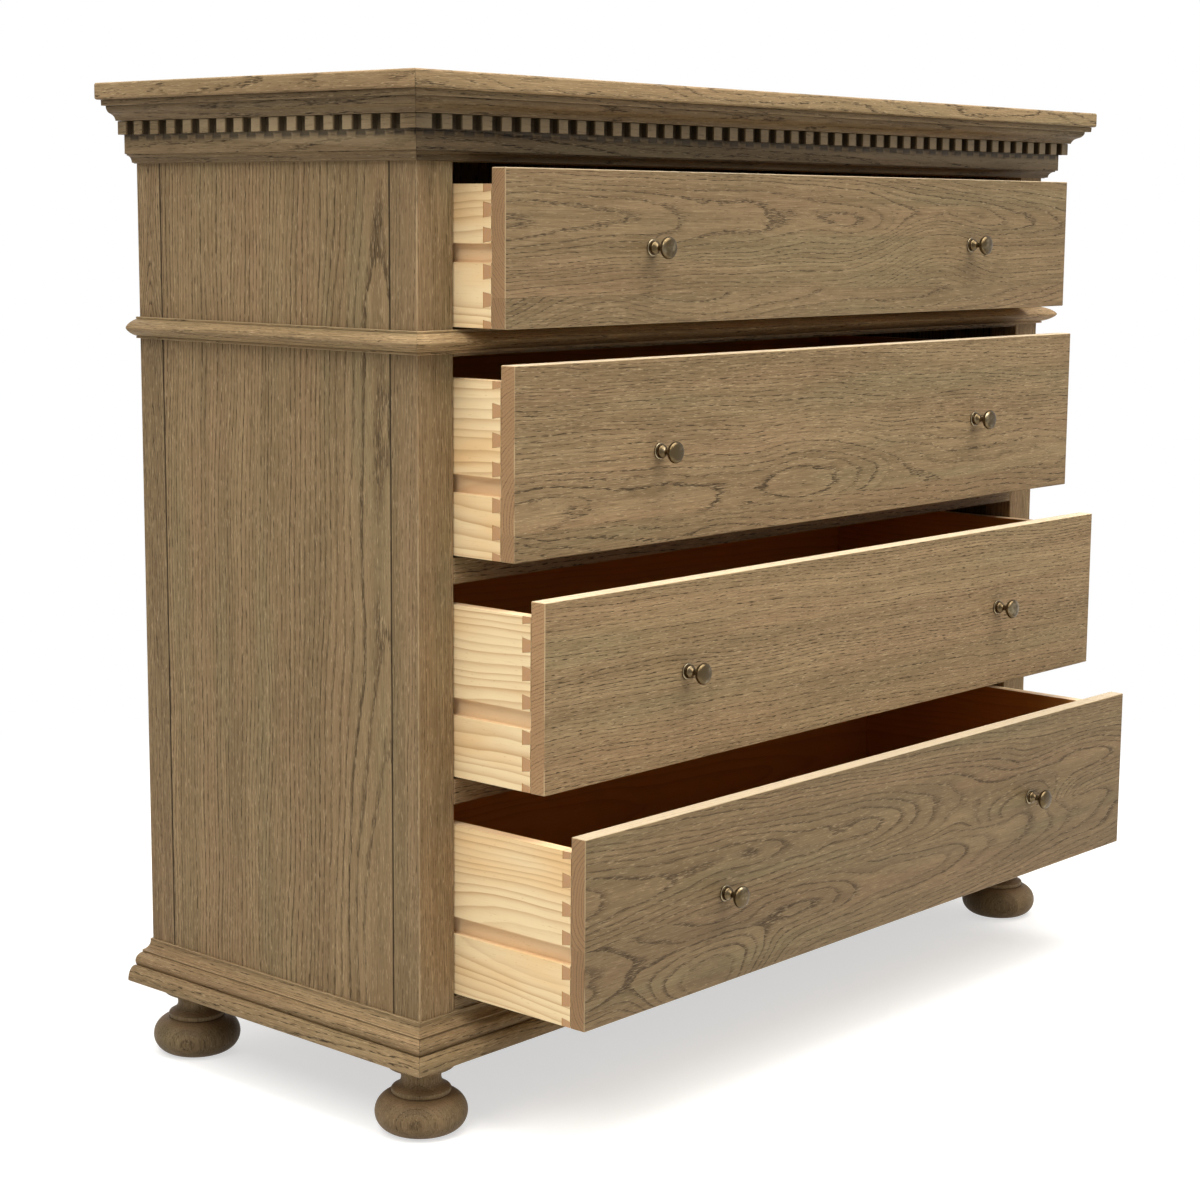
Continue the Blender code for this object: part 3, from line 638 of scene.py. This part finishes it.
def mark_edges(piece, cuts=(), rubbed=1.0):
    """Mark each vertex: "wear" on rounded outer arrises, "hollow" in rounded inner corners, where the
    oak paints shade.
    """
    mesh = piece.data
    bm = bmesh.new()
    bm.from_mesh(mesh)
    marks = {name: [0.0] * len(bm.verts) for name in ("wear", "hollow")}
    for edge in bm.edges:
        if len(edge.link_faces) != 2 or any(on_cut(face, cuts) for face in edge.link_faces):
            continue
        turn = math.degrees(edge.calc_face_angle_signed(0.0))
        name, share = ("wear", rubbed) if turn > 0 else ("hollow", 1.0)
        weight = share * min(1.0, max(0.0, (abs(turn) - MARKED_TURN) / MARK_FADE))
        for vert in edge.verts:
            marks[name][vert.index] = max(marks[name][vert.index], weight)
    bm.free()
    for name, values in marks.items():
        mesh.attributes.new(name, "FLOAT", "POINT").data.foreach_set("value", values)


def on_cut(face, cuts):
    """Whether the face lies on one of the planes that a run was cut along."""
    centre = face.calc_center_median()
    return any(abs((centre - place).dot(normal)) < ON_PLANE for place, normal in cuts)


def dress(piece, body, slot, material, *replaced):
    """Ride the piece on its body, in the place of the nodes it stands for, with its material."""
    piece.data.materials.clear()
    piece.data.materials.append(material)
    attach(piece, body)
    if replaced:
        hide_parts(*replaced)


def copy_piece(original, name, move):
    """A copy of a finished piece with its own mesh, moved to another place."""
    bpy.ops.object.select_all(action="DESELECT")
    original.select_set(True)
    bpy.context.view_layer.objects.active = original
    bpy.ops.object.duplicate()
    bpy.context.object.location = move
    return settle_place(name)


def finish_node(name, material):
    """Give a node of the frame its finish."""
    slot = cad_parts[name].material_slots[0]
    slot.link = "DATA"
    slot.material = material


def board(name, low, high, arris, segments=3):
    """A board between two corners with rounded arrises."""
    piece = lone_primitive(name, bpy.ops.mesh.primitive_cube_add, size=1.0, location=(low + high) / 2,
                           scale=high - low)
    edit_all()
    bpy.ops.mesh.bevel(offset=arris, segments=segments, affect="EDGES")
    settle(piece, 40)
    mark_edges(piece)
    return piece


def turned(name, profile, sides, seat, out):
    """Draw a disc out from its seat through a profile of (radius, reach) points, as on a lathe."""
    radius, reach = profile[0]
    piece = lone_primitive(name, bpy.ops.mesh.primitive_circle_add, vertices=sides, radius=radius,
                           fill_type="NGON", location=seat + out * reach,
                           rotation=out.to_track_quat("Z", "Y").to_euler())
    edit_all()
    bpy.ops.mesh.select_mode(type="FACE")
    for new_radius, new_reach in profile[1:]:
        pull(out * (new_reach - reach))
        ratio = new_radius / radius
        scale = [1.0 if abs(share) > 0.5 else ratio for share in out]
        bpy.ops.transform.resize(value=scale, center_override=seat + out * new_reach)
        radius, reach = new_radius, new_reach
    settle(piece, 38, weighted=False)
    return piece


def arc(centre, radii, start, end, steps):
    """Points on an ellipse's arc, in degrees, both ends included."""
    points = []
    for step in range(steps + 1):
        angle = math.radians(start + (end - start) * step / steps)
        points.append((centre[0] + radii[0] * math.cos(angle), centre[1] + radii[1] * math.sin(angle)))
    return points


def ogee(start, end, swell, steps):
    """Points on a double curve that swells outward first and then hollows."""
    run = Vector(end) - Vector(start)
    side = Vector((-run.y, run.x)).normalized()
    points = []
    for step in range(steps + 1):
        share = step / steps
        point = Vector(start) + run * share + side * swell * math.sin(2 * math.pi * share)
        points.append((point.x, point.y))
    return points


class Wall:
    """One side of the carcass that carries mouldings."""

    def __init__(self, name, corner, along, out, length, far_mitre):
        self.name, self.corner, self.along, self.out = name, corner, along, out
        self.length, self.far_mitre = length, far_mitre

    def cuts(self, gap):
        """Planes at the run's two ends; each normal points to the kept side."""
        planes = [(self.corner + self.along * gap, (self.along + self.out).normalized())]
        end = self.corner + self.along * self.length
        if self.far_mitre:
            planes.append((end - self.along * gap, (self.out - self.along).normalized()))
        else:
            planes.append((end, -self.along))
        return planes


def walls():
    """The front and the two sides."""
    left = Vector((LEFT_X, FRONT_Y, 0))
    right = Vector((RIGHT_X, FRONT_Y, 0))
    depth = BACK_Y - FRONT_Y
    along_x, along_y = Vector((1, 0, 0)), Vector((0, 1, 0))
    return (Wall("front", left, along_x, -along_y, RIGHT_X - LEFT_X, True),
            Wall("left", left, along_y, -along_x, depth, False),
            Wall("right", right, along_y, along_x, depth, False))


def draw_profile(name, wall, profile):
    """Draw a profile of (out, up) points at the wall's start, fill it and run it along the wall."""
    start = wall.corner - wall.along * OVERRUN
    points = [start + wall.out * reach + UP * level for reach, level in profile]
    piece = lone_primitive(name, bpy.ops.mesh.primitive_plane_add, size=0.001, location=points[0])
    bpy.ops.object.mode_set(mode="EDIT")
    bpy.ops.mesh.select_mode(type="VERT")
    bpy.ops.mesh.merge(type="CENTER")
    for here, there in zip(points, points[1:]):
        bpy.ops.mesh.extrude_vertices_move(TRANSFORM_OT_translate={"value": there - here})
    bpy.ops.mesh.select_all(action="SELECT")
    bpy.ops.mesh.edge_face_add()
    pull(wall.along * (wall.length + 2 * OVERRUN))
    bpy.ops.mesh.select_all(action="SELECT")
    bpy.ops.mesh.normals_make_consistent(inside=False)
    return piece


def select_where(piece, kind, test):
    """Select in edit mode only the edges or the faces that pass the test."""
    bpy.ops.mesh.select_mode(type=kind)
    bpy.ops.mesh.select_all(action="DESELECT")
    bm = bmesh.from_edit_mesh(piece.data)
    for part in bm.edges if kind == "EDGE" else bm.faces:
        if test(part):
            part.select_set(True)
    bmesh.update_edit_mesh(piece.data)


def ease_long_edges(piece, wall, width, ceiling):
    """Round the arrises that run along the wall and lie under the ceiling."""
    def is_sharp(edge):
        direction = (edge.verts[0].co - edge.verts[1].co).normalized()
        runs_along = abs(direction.dot(wall.along)) > 0.99 and edge.verts[0].co.z < ceiling
        return runs_along and abs(edge.calc_face_angle(0.0)) > math.radians(SHARP_TURN)

    select_where(piece, "EDGE", is_sharp)
    bpy.ops.mesh.bevel(offset=width, segments=2, affect="EDGES", clamp_overlap=True)


def cut_ends(cuts):
    """Cut the run off along its end planes."""
    bpy.ops.mesh.select_mode(type="FACE")
    for place, normal in cuts:
        bpy.ops.mesh.select_all(action="SELECT")
        bpy.ops.mesh.bisect(plane_co=place, plane_no=normal, use_fill=True, clear_inner=True)


# Profiles of the mouldings, as (out, up) points from the wall and the floor

LEVEL_GAP = 0.0003
FRIEZE_OUT = 0.0155
FRIEZE_BEAD = 0.0100
DENTIL_HEIGHT = 0.0145
DENTIL_DEPTH = 0.0085
DENTIL_WIDTH = 0.0140
DENTIL_ARRIS = 0.0006
CORNER_BLOCK = 0.0220


def crown_profile():
    """Fillet under the top, a quirk, and an ogee down to the dentils."""
    low, high = (corner.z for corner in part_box("crown_front"))
    step = high - 0.0082
    shelf, ogee_out, foot_out, quirk = 0.0460, 0.0395, 0.0270, 0.0022
    points = [(LEVEL_GAP, high), (shelf, high), (shelf - 0.0004, step + quirk), (ogee_out, step + quirk)]
    points += ogee((ogee_out, step), (foot_out, low + 0.0010), 0.0011, 18)
    points += [(foot_out, low), (LEVEL_GAP, low)]
    return points


def waist_profile():
    """Soft pointed thumb between two small fillets."""
    low, high = (corner.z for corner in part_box("waist_front"))
    fillet, fillet_out, nose_out, steps, pointed = 0.0024, 0.0050, 0.0195, 20, 1.34
    thumb_in, thumb_half = 0.0028, (high - low) / 2 - fillet
    points = [(LEVEL_GAP, high), (fillet_out, high), (fillet_out, high - fillet)]
    for step in range(steps + 1):
        angle = math.radians(90 - 180 * step / steps)
        rise = math.copysign(abs(math.sin(angle)) ** pointed, angle)
        swell = (nose_out - thumb_in) * math.cos(angle) ** pointed
        points.append((thumb_in + swell, (low + high) / 2 + thumb_half * rise))
    points += [(fillet_out, low + fillet), (fillet_out, low), (LEVEL_GAP, low)]
    return points


def base_profile():
    """Fillet and cavetto on top, a step, a bead over a quirk, and an ovolo at the foot."""
    low, high = (corner.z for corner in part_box("base_front"))
    edge = high - 0.0117
    step_out, foot_out = 0.0152, 0.0362
    points = [(LEVEL_GAP, high), (0.0032, high - 0.0004)]
    points += arc((0.0135, high - 0.0030), (0.0103, 0.0077), 180, 270, 10)
    points += [(step_out, edge + 0.0006), (step_out, edge - 0.0010), (step_out - 0.0010, edge - 0.0016)]
    points += arc((0.0150, edge - 0.0105), (0.0105, 0.0085), 84, -36, 14)
    points += arc((0.0264, low + 0.0006), (0.0098, 0.0157), 90, 0, 12)
    points += [(foot_out, low), (LEVEL_GAP, low)]
    return points


def frieze_profile():
    """Flat frieze with a small fillet and cavetto at its foot, and the dentils' band on top."""
    low, high = (corner.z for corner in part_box("frieze_left"))
    cove_out, cove_in = FRIEZE_OUT - 0.0026, 0.0030
    points = [(LEVEL_GAP, high), (FRIEZE_OUT, high), (FRIEZE_OUT, high - DENTIL_HEIGHT),
              (FRIEZE_OUT, low + FRIEZE_BEAD), (cove_out, low + FRIEZE_BEAD)]
    points += arc((cove_out, low + 0.0010), (0.0068, FRIEZE_BEAD - 0.0025), 90, 180, 8)
    points += [(cove_in, low + 0.0006), (cove_in, low), (LEVEL_GAP, low)]
    return points


def dentil_edges(wall):
    """Where the slots and dentils begin along a wall, after the wide block at its first corner."""
    reach = FRIEZE_OUT + DENTIL_DEPTH
    start = CORNER_BLOCK - reach
    end = wall.length + reach if wall.far_mitre else wall.length
    count = round((end - start) / (2 * DENTIL_WIDTH))
    width = (end - start) / (2 * count)
    return [start + width * step for step in range(2 * count)]


def carve_dentils(piece, wall):
    """Slice the band over the frieze and pull every other slice out as a dentil."""
    band_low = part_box("frieze_left")[1].z - DENTIL_HEIGHT
    plane = wall.corner.dot(wall.out) + FRIEZE_OUT
    start = wall.corner.dot(wall.along)
    edges = dentil_edges(wall)

    def on_band(face):
        centre = face.calc_center_median()
        return abs(centre.dot(wall.out) - plane) < ON_PLANE / 2 and centre.z > band_low

    def is_dentil(face):
        place = face.calc_center_median().dot(wall.along) - start
        return on_band(face) and sum(place > edge for edge in edges) % 2 == 0

    for place in edges:
        select_where(piece, "FACE", on_band)
        bpy.ops.mesh.bisect(plane_co=wall.corner + wall.along * place, plane_no=wall.along)
    select_where(piece, "FACE", is_dentil)
    pull(wall.out * DENTIL_DEPTH)
    bpy.ops.mesh.region_to_loop()
    bpy.ops.mesh.bevel(offset=DENTIL_ARRIS, segments=2, affect="EDGES")


# Operators

# How pale each moulding is, by kind and where one piece differs; partly darker wood and partly painted
# light: the crown and friezes are darker as painted shade under the top's overhang, the front frieze
# most, the base front darker as painted shade under the drawers, and the waist front paler as a painted
# highlight
MOULDING_TONES_AND_SHADE = {"crown": 0.72, "frieze": 0.76, "waist": 1.18, "base": 1.00,
                  "frieze_front": 0.44, "waist_front": 1.42, "base_front": 0.84}


class CHEST_OT_top(bpy.types.Operator):
    """Model the top board with softened arrises"""
    bl_idname = "chest.top"
    bl_label = "Top"

    def execute(self, context):
        low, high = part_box("top")
        piece = board("top_board", low, high, context.scene.chest_shapes.top_arris, 4)
        material = oak_material("top", ALONG_X_FLAT, 3.1, depth=0.09, side=0.05, figure=0.016,
                                ring=0.0040, tone=1.12, ends=0.0, border=0.058)
        dress(piece, "carcass", "weathered_oak", material, "top")
        return {"FINISHED"}


class CHEST_OT_mouldings(bpy.types.Operator):
    """Run crown, frieze, waist and base round the front and sides"""
    bl_idname = "chest.mouldings"
    bl_label = "Mouldings"

    def execute(self, context):
        shapes = context.scene.chest_shapes
        kinds = (("crown", crown_profile()), ("frieze", frieze_profile()), ("waist", waist_profile()),
                 ("base", base_profile()))
        for number, wall in enumerate(walls()):
            for kind_number, (kind, profile) in enumerate(kinds):
                node = f"{kind}_{wall.name}"
                is_frieze = kind == "frieze"
                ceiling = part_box(node)[1].z - 0.001 if is_frieze else math.inf
                piece = draw_profile(f"{kind}_moulding_{wall.name}", wall, profile)
                ease_long_edges(piece, wall, shapes.moulding_arris, ceiling)
                if is_frieze:
                    carve_dentils(piece, wall)
                cuts = wall.cuts(shapes.mitre_gap)
                cut_ends(cuts)
                settle(piece, 34)
                mark_edges(piece, cuts)
                order = ALONG_X if wall.name == "front" else ALONG_Y
                # Painted shade or highlight by piece, over the moulding's own tone
                tone = MOULDING_TONES_AND_SHADE.get(node, MOULDING_TONES_AND_SHADE[kind])
                material = oak_material(node, order, 5.3 + number * 2.1 + kind_number, depth=0.07,
                                        side=0.03, figure=0.008, ring=0.0036, ends=0.1, tone=tone,
                                        dentils=wall if is_frieze else None)
                dress(piece, "carcass", "weathered_oak", material, node)
        self.add_top_rail(shapes.arris)
        return {"FINISHED"}

    def add_top_rail(self, arris):
        """The rail behind the front frieze, as long as the rails under it."""
        low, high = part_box("frieze_front")
        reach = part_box("rail_upper")[1].x
        box = Vector((-reach, FRONT_Y, low.z)), Vector((reach, high.y, high.z))
        piece = board("top_rail", *box, arris)
        material = oak_material("top_rail", ALONG_X, 19.3, box, ring=0.0036)
        dress(piece, "carcass", "weathered_oak", material)


class CHEST_OT_carcass(bpy.types.Operator):
    """Finish the posts, panels, rails, floor and back"""
    bl_idname = "chest.carcass"
    bl_label = "Carcass boards"

    def execute(self, context):
        post = dict(depth=0.11, side=0.08, figure=0.006, ring=0.0030, torn=0.60, seams=("+y",))
        panel = dict(depth=0.15, figure=0.012, ring=0.0050, tone=1.09, lines=0.95, torn=0.70,
                     seams=("-y", "+y"))
        rail = dict(depth=0.07, side=0.05, figure=0.008, ring=0.0036)
        cuts = (
            ("post_front_left", ALONG_Z, dict(post, corners=("-x -y",))),
            ("post_front_right", ALONG_Z, dict(post, corners=("+x -y",))),
            ("post_back_left", ALONG_Z, dict(depth=0.022, side=0.0, figure=0.014, ring=0.0030,
                                             lines=0.9, knot=(0.36, 0.0, 0.0), swirl=0.024,
                                             corners=("-x +y",), seams=("-y",))),
            ("post_back_right", ALONG_Z, dict(depth=0.03, side=0.0, figure=0.020, ring=0.0044,
                                              corners=("+x +y",), seams=("-y",))),
            ("side_panel_left", ALONG_Z, dict(panel, side=0.17)),
            ("side_panel_right", ALONG_Z, dict(panel, side=-0.17)),
            ("back_panel", ALONG_Z_FRONT, dict(depth=0.08, side=0.05, figure=0.012, ring=0.0050)),
            ("rail_upper", ALONG_X, rail),
            ("rail_middle", ALONG_X, rail),
            ("rail_lower", ALONG_X, rail),
            # Painted shade: the floor and bottom rail are darker, standing for the shadow under the
            # drawers
            ("floor_and_bottom_rail", ALONG_X_FLAT, dict(rail, figure=0.010, ring=0.0040, tone=0.80)),
        )
        for number, (node, order, cut) in enumerate(cuts):
            finish_node(node, oak_material(node, order, 21.7 + 1.9 * number, **cut))
        return {"FINISHED"}


def foot_profile(low, high):
    """Flattened bun, collar ring, hollow neck and a round pad, from a foot's box."""
    radius = (high.x - low.x) / 2
    bun, collar, pad = 0.0412, 0.0055, 0.0125
    collar_radius, neck_radius, pad_radius = 0.0310, 0.0212, 0.0360
    total = high.z - low.z
    core = radius - 0.0213
    collar_top = bun + collar
    pad_bottom = total - pad
    neck_middle = (collar_top + pad_bottom) / 2
    neck_half = (pad_bottom - collar_top) / 2 - 0.0012
    hollow = 0.0098
    points = arc((core, bun / 2), (radius - core, bun / 2), -90, 84, 32)
    points += [(collar_radius, bun + 0.0004), (collar_radius + 0.0004, bun + 0.0010)]
    points += [(collar_radius + 0.0004, collar_top - 0.0008), (collar_radius - 0.0003, collar_top)]
    points += arc((neck_radius + hollow, neck_middle), (hollow, neck_half), 246, 112, 18)
    points += [(pad_radius - 0.0022, pad_bottom), (pad_radius - 0.0006, pad_bottom + 0.0010)]
    points += [(pad_radius, pad_bottom + 0.0032), (pad_radius, total)]
    return points


class CHEST_OT_feet(bpy.types.Operator):
    """Turn the four bun feet"""
    bl_idname = "chest.feet"
    bl_label = "Feet"

    def execute(self, context):
        places = [f"{place}_{side}" for place in ("front", "back") for side in SIDES]
        low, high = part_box(f"foot_{places[0]}")
        seat = Vector(((low.x + high.x) / 2, (low.y + high.y) / 2, low.z))
        first = turned(f"bun_foot_{places[0]}", foot_profile(low, high),
                       context.scene.chest_shapes.foot_sides, seat, UP)
        mark_edges(first, rubbed=0.25)
        feet = [first]
        for place in places[1:]:
            feet.append(copy_piece(first, f"bun_foot_{place}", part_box(f"foot_{place}")[0] - low))
        for number, (place, piece) in enumerate(zip(places, feet)):
            node = f"foot_{place}"
            # Painted shade: the back feet are darker than the front ones, as if in the chest's shadow
            tone = 0.80 if place.startswith("front") else 0.68
            material = oak_material(node, ALONG_Z, 64.3 + 3.3 * number, depth=0.085, side=0.066,
                                    figure=0.005, ring=0.0034, ends=0.4, lines=0.28, torn=0.60,
                                    tone=tone)
            dress(piece, "carcass", "weathered_oak", material, node)
        return {"FINISHED"}


class CHEST_OT_drawer_fronts(bpy.types.Operator):
    """Model the four drawer fronts"""
    bl_idname = "chest.drawer_fronts"
    bl_label = "Drawer fronts"

    def execute(self, context):
        cuts = (
            dict(depth=0.050, side=-0.030, taper=0.030, figure=0.015, ring=0.0036, tone=0.89,
                 knot=(0.22, 0.0, -0.02), swirl=0.022, glue_line=-0.048, lines=0.50, torn=0.75),
            dict(depth=0.070, side=0.055, taper=0.025, figure=0.013, ring=0.0036, tone=1.02,
                 knot=(-0.02, 0.0, -0.03), swirl=-0.014, glue_line=-0.070, torn=0.90),
            dict(depth=0.110, side=0.160, taper=0.030, figure=0.010, ring=0.0036, tone=1.15,
                 glue_line=0.030, torn=1.20),
            dict(depth=0.045, side=-0.030, taper=0.040, figure=0.018, ring=0.0040, tone=0.88,
                 knot=(0.285, 0.0, -0.036), swirl=-0.041, glue_line=-0.016, lines=0.85, torn=0.40),
        )
        for number, cut in zip(DRAWERS, cuts):
            node = f"drawer_{number}_front"
            piece = board(f"front_board_{number}", *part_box(node), context.scene.chest_shapes.arris)
            # The top edges get the painted highlight that stands for light from above
            material = oak_material(node, ALONG_X, 37.9 + 4.7 * number, top_highlight=True, **cut)
            dress(piece, f"drawer_{number}", "weathered_oak", material, node)
        return {"FINISHED"}


class CHEST_OT_drawer_boxes(bpy.types.Operator):
    """Finish the pine boxes of the drawers"""
    bl_idname = "chest.drawer_boxes"
    bl_label = "Drawer boxes"

    def execute(self, context):
        boards = (("side_left", ALONG_Y, "-x", 0.014), ("side_right", ALONG_Y, "+x", 0.014),
                  ("box_front", ALONG_X, "-y", 0.010), ("box_back", ALONG_X, "+y", 0.010),
                  ("bottom", ALONG_X_FLAT, "-z", 0.010))
        for number in DRAWERS:
            for place, (part, order, outer, figure) in enumerate(boards):
                node = f"drawer_{number}_{part}"
                seed = 80.0 + 7.7 * number + 1.3 * place
                finish_node(node, pine_material(node, order, seed, outer, figure))
        return {"FINISHED"}


def knob_profile(length, head_radius):
    """Stepped rose, short neck and a domed head with a rounded rim."""
    rose, rose_radius, neck_radius, rim = 0.0018, 0.0088, 0.0031, 0.0050
    head_back = length - 0.0056
    points = [(rose_radius, 0.0), (rose_radius, rose - 0.0005), (rose_radius - 0.0005, rose)]
    points += [(rose_radius * 0.84, rose + 0.0002), (rose_radius * 0.82, rose + 0.0010)]
    points += arc((rose_radius * 0.46, rose + 0.0024), (rose_radius * 0.36, 0.0030), -18, 62, 8)
    points += arc((neck_radius + 0.0030, rose + 0.0090), (0.0030, 0.0032), 236, 180, 6)
    points += [(neck_radius, head_back - 0.0052)]
    back = (head_radius - neck_radius - 0.0010, 0.0060)
    points += arc((neck_radius + 0.0004, head_back + 0.0008), back, -80, -14, 12)
    points += arc((head_radius - rim, head_back + 0.0010), (rim, 0.0042), -14, 78, 12)
    points += [(head_radius * 0.42, length - 0.0002), (head_radius * 0.05, length)]
    return points


class CHEST_OT_knobs(bpy.types.Operator):
    """Turn the eight knobs"""
    bl_idname = "chest.knobs"
    bl_label = "Knobs"

    def execute(self, context):
        places = [(number, side) for number in DRAWERS for side in SIDES]
        low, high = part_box("drawer_1_knob_left")
        seat = Vector(((low.x + high.x) / 2, high.y, (low.z + high.z) / 2))
        first = turned("knob_1_left", knob_profile(high.y - low.y, (high.x - low.x) / 2),
                       context.scene.chest_shapes.knob_sides, seat, Vector((0, -1, 0)))
        mark_edges(first)
        knobs = [first]
        for number, side in places[1:]:
            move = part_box(f"drawer_{number}_knob_{side}")[0] - low
            knobs.append(copy_piece(first, f"knob_{number}_{side}", move))
        material = brass_material(context.scene.chest_brass)
        for (number, side), piece in zip(places, knobs):
            dress(piece, f"drawer_{number}", "aged_brass", material, f"drawer_{number}_knob_{side}")
        return {"FINISHED"}


class CHEST_OT_stage(bpy.types.Operator):
    """Set the floor, the light and the camera"""
    bl_idname = "chest.stage"
    bl_label = "Stage"

    def execute(self, context):
        stage = context.scene.chest_stage
        set_floor(stage)
        set_world()
        set_lamps()
        set_camera(stage)
        context.scene.view_settings.view_transform = "Standard"
        return {"FINISHED"}


def seen_share(bench):
    """1 for the camera, and for what gloss and glass show of it."""
    path = bench.wires(bench.make("ShaderNodeLightPath"))
    return bench.most(*(path[f"Is {kind} Ray"] for kind in ("Camera", "Glossy", "Transmission")))


def mix_shaders(bench, share, first, second):
    """A share of the second shader over the first."""
    return bench.wire("ShaderNodeMixShader", 0, {0: share, 1: first, 2: second})


def set_floor(stage):
    """A pale floor that keeps the object's shadow and fades to white further out."""
    piece = lone_primitive("studio_floor", bpy.ops.mesh.primitive_plane_add, size=60.0)
    material, bench, shader = start_material("studio_floor")
    bench.fill(shader, {"Base Color": stage.floor, "Roughness": 1.0, "Specular IOR Level": 0.0})
    matt = Wire(bench, shader.outputs[0])
    glow = bench.wire("ShaderNodeEmission", 0, {"Color": WHITE, "Strength": stage.floor_glow})
    lit = bench.wire("ShaderNodeAddShader", 0, {0: matt, 1: glow})
    white = bench.wire("ShaderNodeEmission", 0, {"Color": WHITE, "Strength": 1.0})
    distance = bench.vector("LENGTH", bench.wire("ShaderNodeTexCoord", "Object"))
    near = mix_shaders(bench, distance.step(0.9, 1.9), lit, white)
    seen = mix_shaders(bench, seen_share(bench), matt, near)
    bench.fill(material.node_tree.nodes["Material Output"], {"Surface": seen})
    piece.data.materials.append(material)


def set_world():
    """A sky that is dim as light and white where it is seen."""
    world = bpy.data.worlds.new("studio")
    world.use_nodes = True
    bpy.context.scene.world = world
    bench = Bench(world.node_tree)
    sky = world.node_tree.nodes["Background"]
    bench.fill(sky, {"Color": WHITE, "Strength": 0.27})
    white = bench.wire("ShaderNodeBackground", 0, {"Color": WHITE, "Strength": 1.0})
    seen = mix_shaders(bench, seen_share(bench), Wire(bench, sky.outputs[0]), white)
    bench.fill(world.node_tree.nodes["World Output"], {"Surface": seen})


def add_lamp(name, place, target, size, power):
    """A large soft area lamp aimed at a point."""
    bpy.ops.object.light_add(type="AREA", location=place)
    lamp = bpy.context.object
    lamp.name = name
    lamp.data.shape = "RECTANGLE"
    lamp.data.size, lamp.data.size_y = size
    lamp.data.energy = power
    lamp.rotation_euler = (Vector(target) - Vector(place)).to_track_quat("-Z", "Y").to_euler()


def set_lamps():
    """Soft light from above, from both sides of the camera, and a little from behind."""
    add_lamp("overhead", (0.1, -0.9, 4.3), (0.0, -0.3, 0.5), (3.0, 2.4), 90.0)
    add_lamp("overhead_front", (0.4, -2.0, 3.9), (0.0, -0.15, 0.55), (4.0, 2.8), 152.0)
    add_lamp("overhead_side", (-2.2, -0.3, 3.8), (-0.4, 0.1, 0.55), (2.8, 3.6), 150.0)
    add_lamp("behind", (2.4, 2.8, 2.6), (0.1, 0.1, 0.5), (2.6, 2.6), 70.0)


def set_camera(stage):
    """The photograph's place, direction and lens."""
    data = bpy.data.cameras.new("camera")
    camera = bpy.data.objects.new("camera", data)
    bpy.context.scene.collection.objects.link(camera)
    turn = (Matrix.Rotation(-stage.heading, 4, "Z") @ Matrix.Rotation(math.pi / 2 + stage.pitch, 4, "X")
            @ Matrix.Rotation(stage.roll, 4, "Z"))
    camera.matrix_world = Matrix.Translation(stage.camera_place) @ turn
    data.sensor_width = 36.0
    data.lens = stage.lens
    data.clip_end = 100.0
    bpy.context.scene.camera = camera


class CHEST_PT_tools(bpy.types.Panel):
    """Steps of the chest, in order"""
    bl_idname = "CHEST_PT_tools"
    bl_label = "Oak Chest"
    bl_space_type = "VIEW_3D"
    bl_region_type = "UI"
    bl_category = "Chest"

    def draw(self, context):
        for operator in OPERATORS:
            self.layout.operator(operator.bl_idname)
        for setting, _ in SETTINGS:
            group = getattr(context.scene, setting)
            column = self.layout.column()
            for name in group.bl_rna.properties.keys():
                if name not in ("rna_type", "name"):
                    column.prop(group, name)


SETTINGS = (("chest_shapes", ChestShapes), ("chest_oak", ChestOak), ("chest_pine", ChestPine),
            ("chest_brass", ChestBrass), ("chest_stage", ChestStage))
OPERATORS = (CHEST_OT_top, CHEST_OT_mouldings, CHEST_OT_carcass, CHEST_OT_feet, CHEST_OT_drawer_fronts,
             CHEST_OT_drawer_boxes, CHEST_OT_knobs, CHEST_OT_stage)


def register():
    """Add the settings, operators and panel."""
    for name, group in SETTINGS:
        bpy.utils.register_class(group)
        setattr(bpy.types.Scene, name, PointerProperty(type=group))
    for operator in OPERATORS:
        bpy.utils.register_class(operator)
    bpy.utils.register_class(CHEST_PT_tools)


def unregister():
    """Take them away again."""
    bpy.utils.unregister_class(CHEST_PT_tools)
    for operator in reversed(OPERATORS):
        bpy.utils.unregister_class(operator)
    for name, group in reversed(SETTINGS):
        delattr(bpy.types.Scene, name)
        bpy.utils.unregister_class(group)


def main():
    """Dress the chest, piece by piece."""
    register()
    build_oak_group(bpy.context.scene.chest_oak)
    build_pine_group(bpy.context.scene.chest_pine)
    bpy.ops.chest.top()
    bpy.ops.chest.mouldings()
    bpy.ops.chest.carcass()
    bpy.ops.chest.feet()
    bpy.ops.chest.drawer_fronts()
    bpy.ops.chest.drawer_boxes()
    bpy.ops.chest.knobs()
    bpy.ops.chest.stage()


if __name__ == "__main__":
    main()
